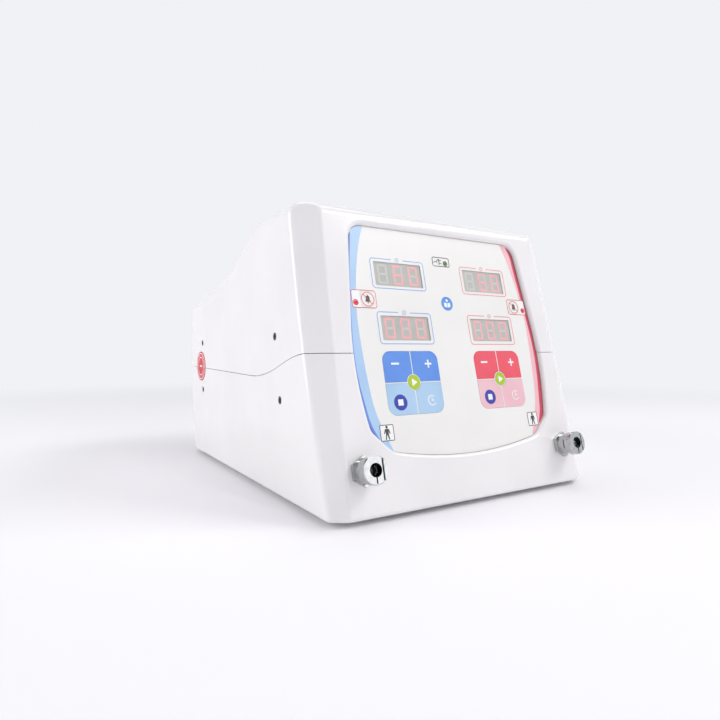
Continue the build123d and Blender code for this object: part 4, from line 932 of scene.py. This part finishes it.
def boxLoops(mark, side=1):
    # Outside and inside of a box drawn with a line
    return markBox(mark, side), markBox(mark, side, mark["line"])


def rimLoops(u, v, radii):
    # Thin ring round a lamp
    outer, inner = radii
    return [circle(u, v, outer, 32), circle(u, v, inner, 24)]


def figureLoops(u, v):
    # A plain standing figure: head, and a body with arms and legs
    half = [
        (1.0, 2.4), (1.5, 2.1), (2.3, -0.5), (1.75, -0.7), (1.1, 0.9),
        (1.0, -0.8), (1.6, -4.1), (0.85, -4.1), (0.12, -1.3),
    ]
    body = half + mirrored(half)
    return [shifted(body, u, v), circle(u, v + 3.45, 0.85, 20)]


def plugLoops(u, v):
    # A plug from the side: its body, the start of its lead, its face and two prongs
    lines = [
        (arc(0, 0, 1.9, 90, 270, 12), 0.5),
        ([(-5.0, -0.9), (-3.6, 0.1), (-2.1, 0)], 0.42),
        ([(0.1, -2.15), (0.1, 2.15)], 0.45),
        ([(0.4, -1.1), (2.0, -1.1)], 0.5),
        ([(0.4, 1.1), (2.0, 1.1)], 0.5),
    ]
    return [stroke(shifted(line, u, v), width) for line, width in lines]


def bookLoops(u, v):
    # An open book with a dot above it
    page = [(0.25, -2.8), (2.7, -2.2), (2.7, 0.8), (0.25, 0.3)]
    return [shifted(page, u, v), shifted(mirrored(page), u, v), circle(u, v + 2.2, 1.0, 20)]


def makeMarks():
    for hand, side in hands.items():
        tag = hand.title()
        outer, inner = boxLoops(marks["muteBox"], side)
        window = markBox(marks["muteWindow"], side)
        lamp = marks["alarmLamp"]
        u, v = side * lamp["u"], lamp["v"]
        lampHole = circle(u, v, lamp["hole"], 24)
        overlayPiece(f"muteField{tag}", [inner, window, lampHole], "inkWhite", layer=2)
        overlayPiece(f"muteBox{tag}", [outer, inner], "inkRed", layer=2)
        overlayPiece(f"alarmRim{tag}", rimLoops(u, v, lamp["rim"]), "inkRed", layer=3)
        outer, inner = boxLoops(marks["figureBox"], side)
        overlayPiece(f"figureField{tag}", [inner], "inkWhite", layer=2)
        overlayPiece(f"figureBox{tag}", [outer, inner], "inkBlack", layer=2)
        figure = figureLoops(side * marks["figureBox"]["u"], marks["figureBox"]["v"])
        overlayPiece(f"figure{tag}", figure, "inkBlack", layer=3)
    outer, inner = boxLoops(marks["mainsBox"])
    overlayPiece("mainsBox", [outer, inner], "inkBlack")
    low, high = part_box("power_lamp")
    lamp = faceMatrix().inverted() @ ((low + high) / 2)
    overlayPiece("mainsRim", rimLoops(lamp.x, lamp.y, marks["mainsLamp"]["rim"]), "inkBlack")
    plug = plugLoops(marks["plug"]["u"], marks["plug"]["v"])
    overlayPiece("mainsPlug", plug, "inkBlack", layer=1)
    disc = marks["infoDisc"]
    overlayPiece("infoDisc", [circle(disc["u"], disc["v"], disc["radius"])], "inkInfo")
    overlayPiece("infoBook", bookLoops(disc["u"], disc["v"]), "inkWhite", layer=1)
    print("panel marks printed")


# Round seal on the left side, with plain rings and ticks

seal = {
    "rings": [(12.0, 11.2), (8.4, 7.7)],
    "ticks": {"count": 12, "from": 9.2, "to": 10.5, "half": 0.28},
    "bar": (7.2, 1.3, 0.4),   # width, height and corner radius
}


def makeSealRings():
    low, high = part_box("seal_label")
    centre = (low + high) / 2 * 1000
    surface = low.x * 1000
    turn = Matrix(((0, 0, -1, surface), (-1, 0, 0, centre.y), (0, 1, 0, centre.z), (0, 0, 0, 1)))
    loops = []
    for outer, inner in seal["rings"]:
        loops += [circle(0, 0, outer), circle(0, 0, inner)]
    ticks = seal["ticks"]
    near, far, half = ticks["from"], ticks["to"], ticks["half"]
    tick = [(near, -half), (far, -half), (far, half), (near, half)]
    for step in range(ticks["count"]):
        loops.append(shifted(tick, 0, 0, 360 * step / ticks["count"]))
    loops.append(roundBox(0, 0, *seal["bar"]))
    matrix = Matrix.Scale(0.001, 4) @ turn
    flatPiece("sealRings", loops, "inkWhite", matrix=matrix)
    print("seal printed")


# Marks of the rocker: a bar for on at the end that is pressed in, and a ring for off

rocker = {
    "x": -36.4,
    "z": 43.0,
    "halfHeight": 9.2,
    "crown": 4.6,      # the ends stand this far above the pivot
    "dip": 2.8,        # the middle stands this far above it
    "tilt": 10.0,
    "behind": 4.0,     # the pivot lies this far in front of the inlet's face
    "markAt": 5.4,
    "bar": (0.9, 4.4, 0.2),   # width, height and corner radius
    "ring": (2.3, 1.6),
}


def makeRockerMarks():
    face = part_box("inlet_housing")[1].y * 1000 - rocker["behind"]
    lean = math.atan2(rocker["crown"] - rocker["dip"], rocker["halfHeight"])
    rise = rocker["dip"] + rocker["markAt"] * math.tan(lean)
    pivot = Matrix.Translation((rocker["x"], face, rocker["z"]))
    tilt = pivot @ Matrix.Rotation(math.radians(rocker["tilt"]), 4, "X")
    flat = Matrix(((-1, 0, 0, 0), (0, 0, 1, 0), (0, 1, 0, 0), (0, 0, 0, 1)))
    bar = [roundBox(0, 0, *rocker["bar"])]
    ring = [circle(0, 0, radius, 32) for radius in rocker["ring"]]
    for name, sign, loops in (("rockerBar", 1, bar), ("rockerRing", -1, ring)):
        end = Matrix.Translation((0, rise, sign * rocker["markAt"])) @ Matrix.Rotation(-sign * lean, 4, "X")
        matrix = Matrix.Scale(0.001, 4) @ tilt @ end @ flat
        flatPiece(name, loops, "inkWhite", body="rocker_switch", matrix=matrix)
    print("rocker marked")


# Black ring seal inside each coupling's bore: a round section spun about the bore

def makeBoreSeals():
    ring = coupling["seal"]
    bpy.ops.object.select_all(action="DESELECT")
    bpy.ops.mesh.primitive_circle_add(
        vertices=ring["corners"], radius=ring["section"],
        location=(ring["radius"], 0, 0), rotation=(math.pi / 2, 0, 0),
    )
    section = bpy.context.active_object
    bpy.ops.object.transform_apply(location=True, rotation=True, scale=True)
    bpy.ops.object.mode_set(mode="EDIT")
    bpy.ops.mesh.select_all(action="SELECT")
    bpy.ops.mesh.spin(steps=ring["steps"], angle=2 * math.pi, center=(0, 0, 0), axis=(0, 0, 1))
    bpy.ops.mesh.select_all(action="SELECT")
    bpy.ops.mesh.remove_doubles(threshold=ring["merge"])
    bpy.ops.mesh.normals_make_consistent(inside=False)
    bpy.ops.object.mode_set(mode="OBJECT")
    bpy.ops.object.shade_smooth()
    section.data.materials.append(materials["blackRubber"])
    second = section.copy()
    second.data = section.data.copy()
    bpy.context.scene.collection.objects.link(second)
    for (hand, side), obj in zip(hands.items(), (section, second)):
        obj.name = f"boreSeal{hand.title()}"
        obj.data.name = obj.name
        place = Matrix.Translation((side * coupling["u"], coupling["v"], ring["level"]))
        obj.data.transform(faceMatrix() @ place)
        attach(obj, "console")
    print("bore seals placed")


# Studio: a pale floor that runs into a pale background, a soft sky and soft boxes

studio = {
    "floor": "#FAF8FB",
    "background": "#F0F2F6",
    "ceiling": "#7E8086",
    "skyStrength": 0.62,
    "skyHeight": (0.62, 0.95),   # sine of the height where the background turns into the ceiling
    "floorRadius": 40,
    "fibreMm": 2,
    "fibreHeightMm": 0.05,
    "blendMm": (380, 1300),   # distance over which the floor runs into the background
    "boxes": {
        "over": {"size": (1.3, 0.9), "place": (0.1, 0.1, 1.5), "power": 6.5},
        "left": {"size": (0.7, 1.1), "place": (-1.5, 0.55, 0.6), "power": 10.5},
        "front": {"size": (0.9, 0.5), "place": (1.0, -0.8, 1.35), "power": 11},
        "strip": {"size": (0.09, 1.1), "place": (0.22, -1.55, 0.75), "power": 2.6},
        "card": {"size": (0.4, 0.4), "place": (0.75, -1.5, 0.32), "power": 0.42},
    },
    "aim": (0, 0, 0.1),
}


def seenRays(tree, path):
    # One for rays from the camera or from a shiny surface
    return addNode(
        tree, "ShaderNodeMath", {"operation": "MAXIMUM"},
        {0: path.outputs["Is Camera Ray"], 1: path.outputs["Is Glossy Ray"]},
    )


def makeFloorMaterial():
    # Seamless paper: shaded near the object, and the plain background further out
    material = newMaterial("seamlessPaper")
    tree = material.node_tree
    place = addNode(tree, "ShaderNodeTexCoord").outputs["Object"]
    fibre = addNode(
        tree, "ShaderNodeTexNoise",
        {"Scale": perMetre(studio["fibreMm"]), "Detail": 3.0},
        {"Vector": place},
    )
    bump = addNode(
        tree, "ShaderNodeBump",
        {"Strength": 0.05, "Distance": studio["fibreHeightMm"] * 0.001},
        {"Height": fibre.outputs["Fac"]},
    )
    paper = addNode(
        tree, "ShaderNodeBsdfPrincipled",
        {"Base Color": linear(studio["floor"]), "Roughness": 0.7, "Specular IOR Level": 0.25},
        {"Normal": bump.outputs["Normal"]},
    )
    distance = addNode(tree, "ShaderNodeVectorMath", {"operation": "LENGTH"}, {0: place})
    near, far = studio["blendMm"]
    reach = addNode(
        tree, "ShaderNodeMapRange",
        {"interpolation_type": "SMOOTHSTEP", "From Min": near * 0.001, "From Max": far * 0.001},
        {"Value": distance.outputs["Value"]},
    )
    seen = seenRays(tree, addNode(tree, "ShaderNodeLightPath"))
    share = addNode(
        tree, "ShaderNodeMath", {"operation": "MULTIPLY"},
        {0: reach.outputs["Result"], 1: seen.outputs["Value"]},
    )
    plain = addNode(tree, "ShaderNodeEmission", {"Color": linear(studio["background"])})
    mix = addNode(tree, "ShaderNodeMixShader", None, {
        0: share.outputs["Value"], 1: paper.outputs["BSDF"], 2: plain.outputs["Emission"],
    })
    addNode(tree, "ShaderNodeOutputMaterial", None, {"Surface": mix.outputs["Shader"]})
    return material


def makeStudio():
    scene = bpy.context.scene
    scene.view_settings.view_transform = "Standard"
    bpy.ops.object.select_all(action="DESELECT")
    bpy.ops.mesh.primitive_circle_add(vertices=96, radius=studio["floorRadius"], fill_type="NGON")
    floor = bpy.context.active_object
    floor.name = "floor"
    floor.data.materials.append(makeFloorMaterial())
    world = bpy.data.worlds.new("world")
    scene.world = world
    world.use_nodes = True
    tree = world.node_tree
    tree.nodes.clear()
    direction = addNode(tree, "ShaderNodeTexCoord").outputs["Generated"]
    height = addNode(tree, "ShaderNodeSeparateXYZ", None, {"Vector": direction})
    ramp = addNode(tree, "ShaderNodeValToRGB", None, {"Fac": height.outputs["Z"]})
    for element, place, colour in zip(
        ramp.color_ramp.elements, studio["skyHeight"], (studio["background"], studio["ceiling"]),
    ):
        element.position = place
        element.color = linear(colour)
    path = addNode(tree, "ShaderNodeLightPath")
    seen = addNode(
        tree, "ShaderNodeMath", {"operation": "MAXIMUM"},
        {0: seenRays(tree, path).outputs["Value"], 1: path.outputs["Is Transmission Ray"]},
    )
    sky = addNode(
        tree, "ShaderNodeBackground", {"Strength": studio["skyStrength"]}, {"Color": ramp.outputs["Color"]},
    )
    shown = addNode(tree, "ShaderNodeBackground", {"Strength": 1.0}, {"Color": ramp.outputs["Color"]})
    mix = addNode(tree, "ShaderNodeMixShader", None, {
        0: seen.outputs["Value"], 1: sky.outputs["Background"], 2: shown.outputs["Background"],
    })
    addNode(tree, "ShaderNodeOutputWorld", None, {"Surface": mix.outputs["Shader"]})
    for name, box in studio["boxes"].items():
        data = bpy.data.lights.new(name, "AREA")
        data.shape = "RECTANGLE"
        data.size, data.size_y = box["size"]
        data.energy = box["power"]
        lamp = bpy.data.objects.new(name, data)
        scene.collection.objects.link(lamp)
        lamp.location = box["place"]
        towards = Vector(studio["aim"]) - Vector(box["place"])
        lamp.rotation_euler = towards.to_track_quat("-Z", "Y").to_euler()
    print("studio lit")


makeCamera()
finishNodes()
makeSideBands()
makeDisplays()
makeKeyRibs()
makeKeyPrints()
makeMarks()
makeSealRings()
makeRockerMarks()
makeBoreSeals()
makeStudio()
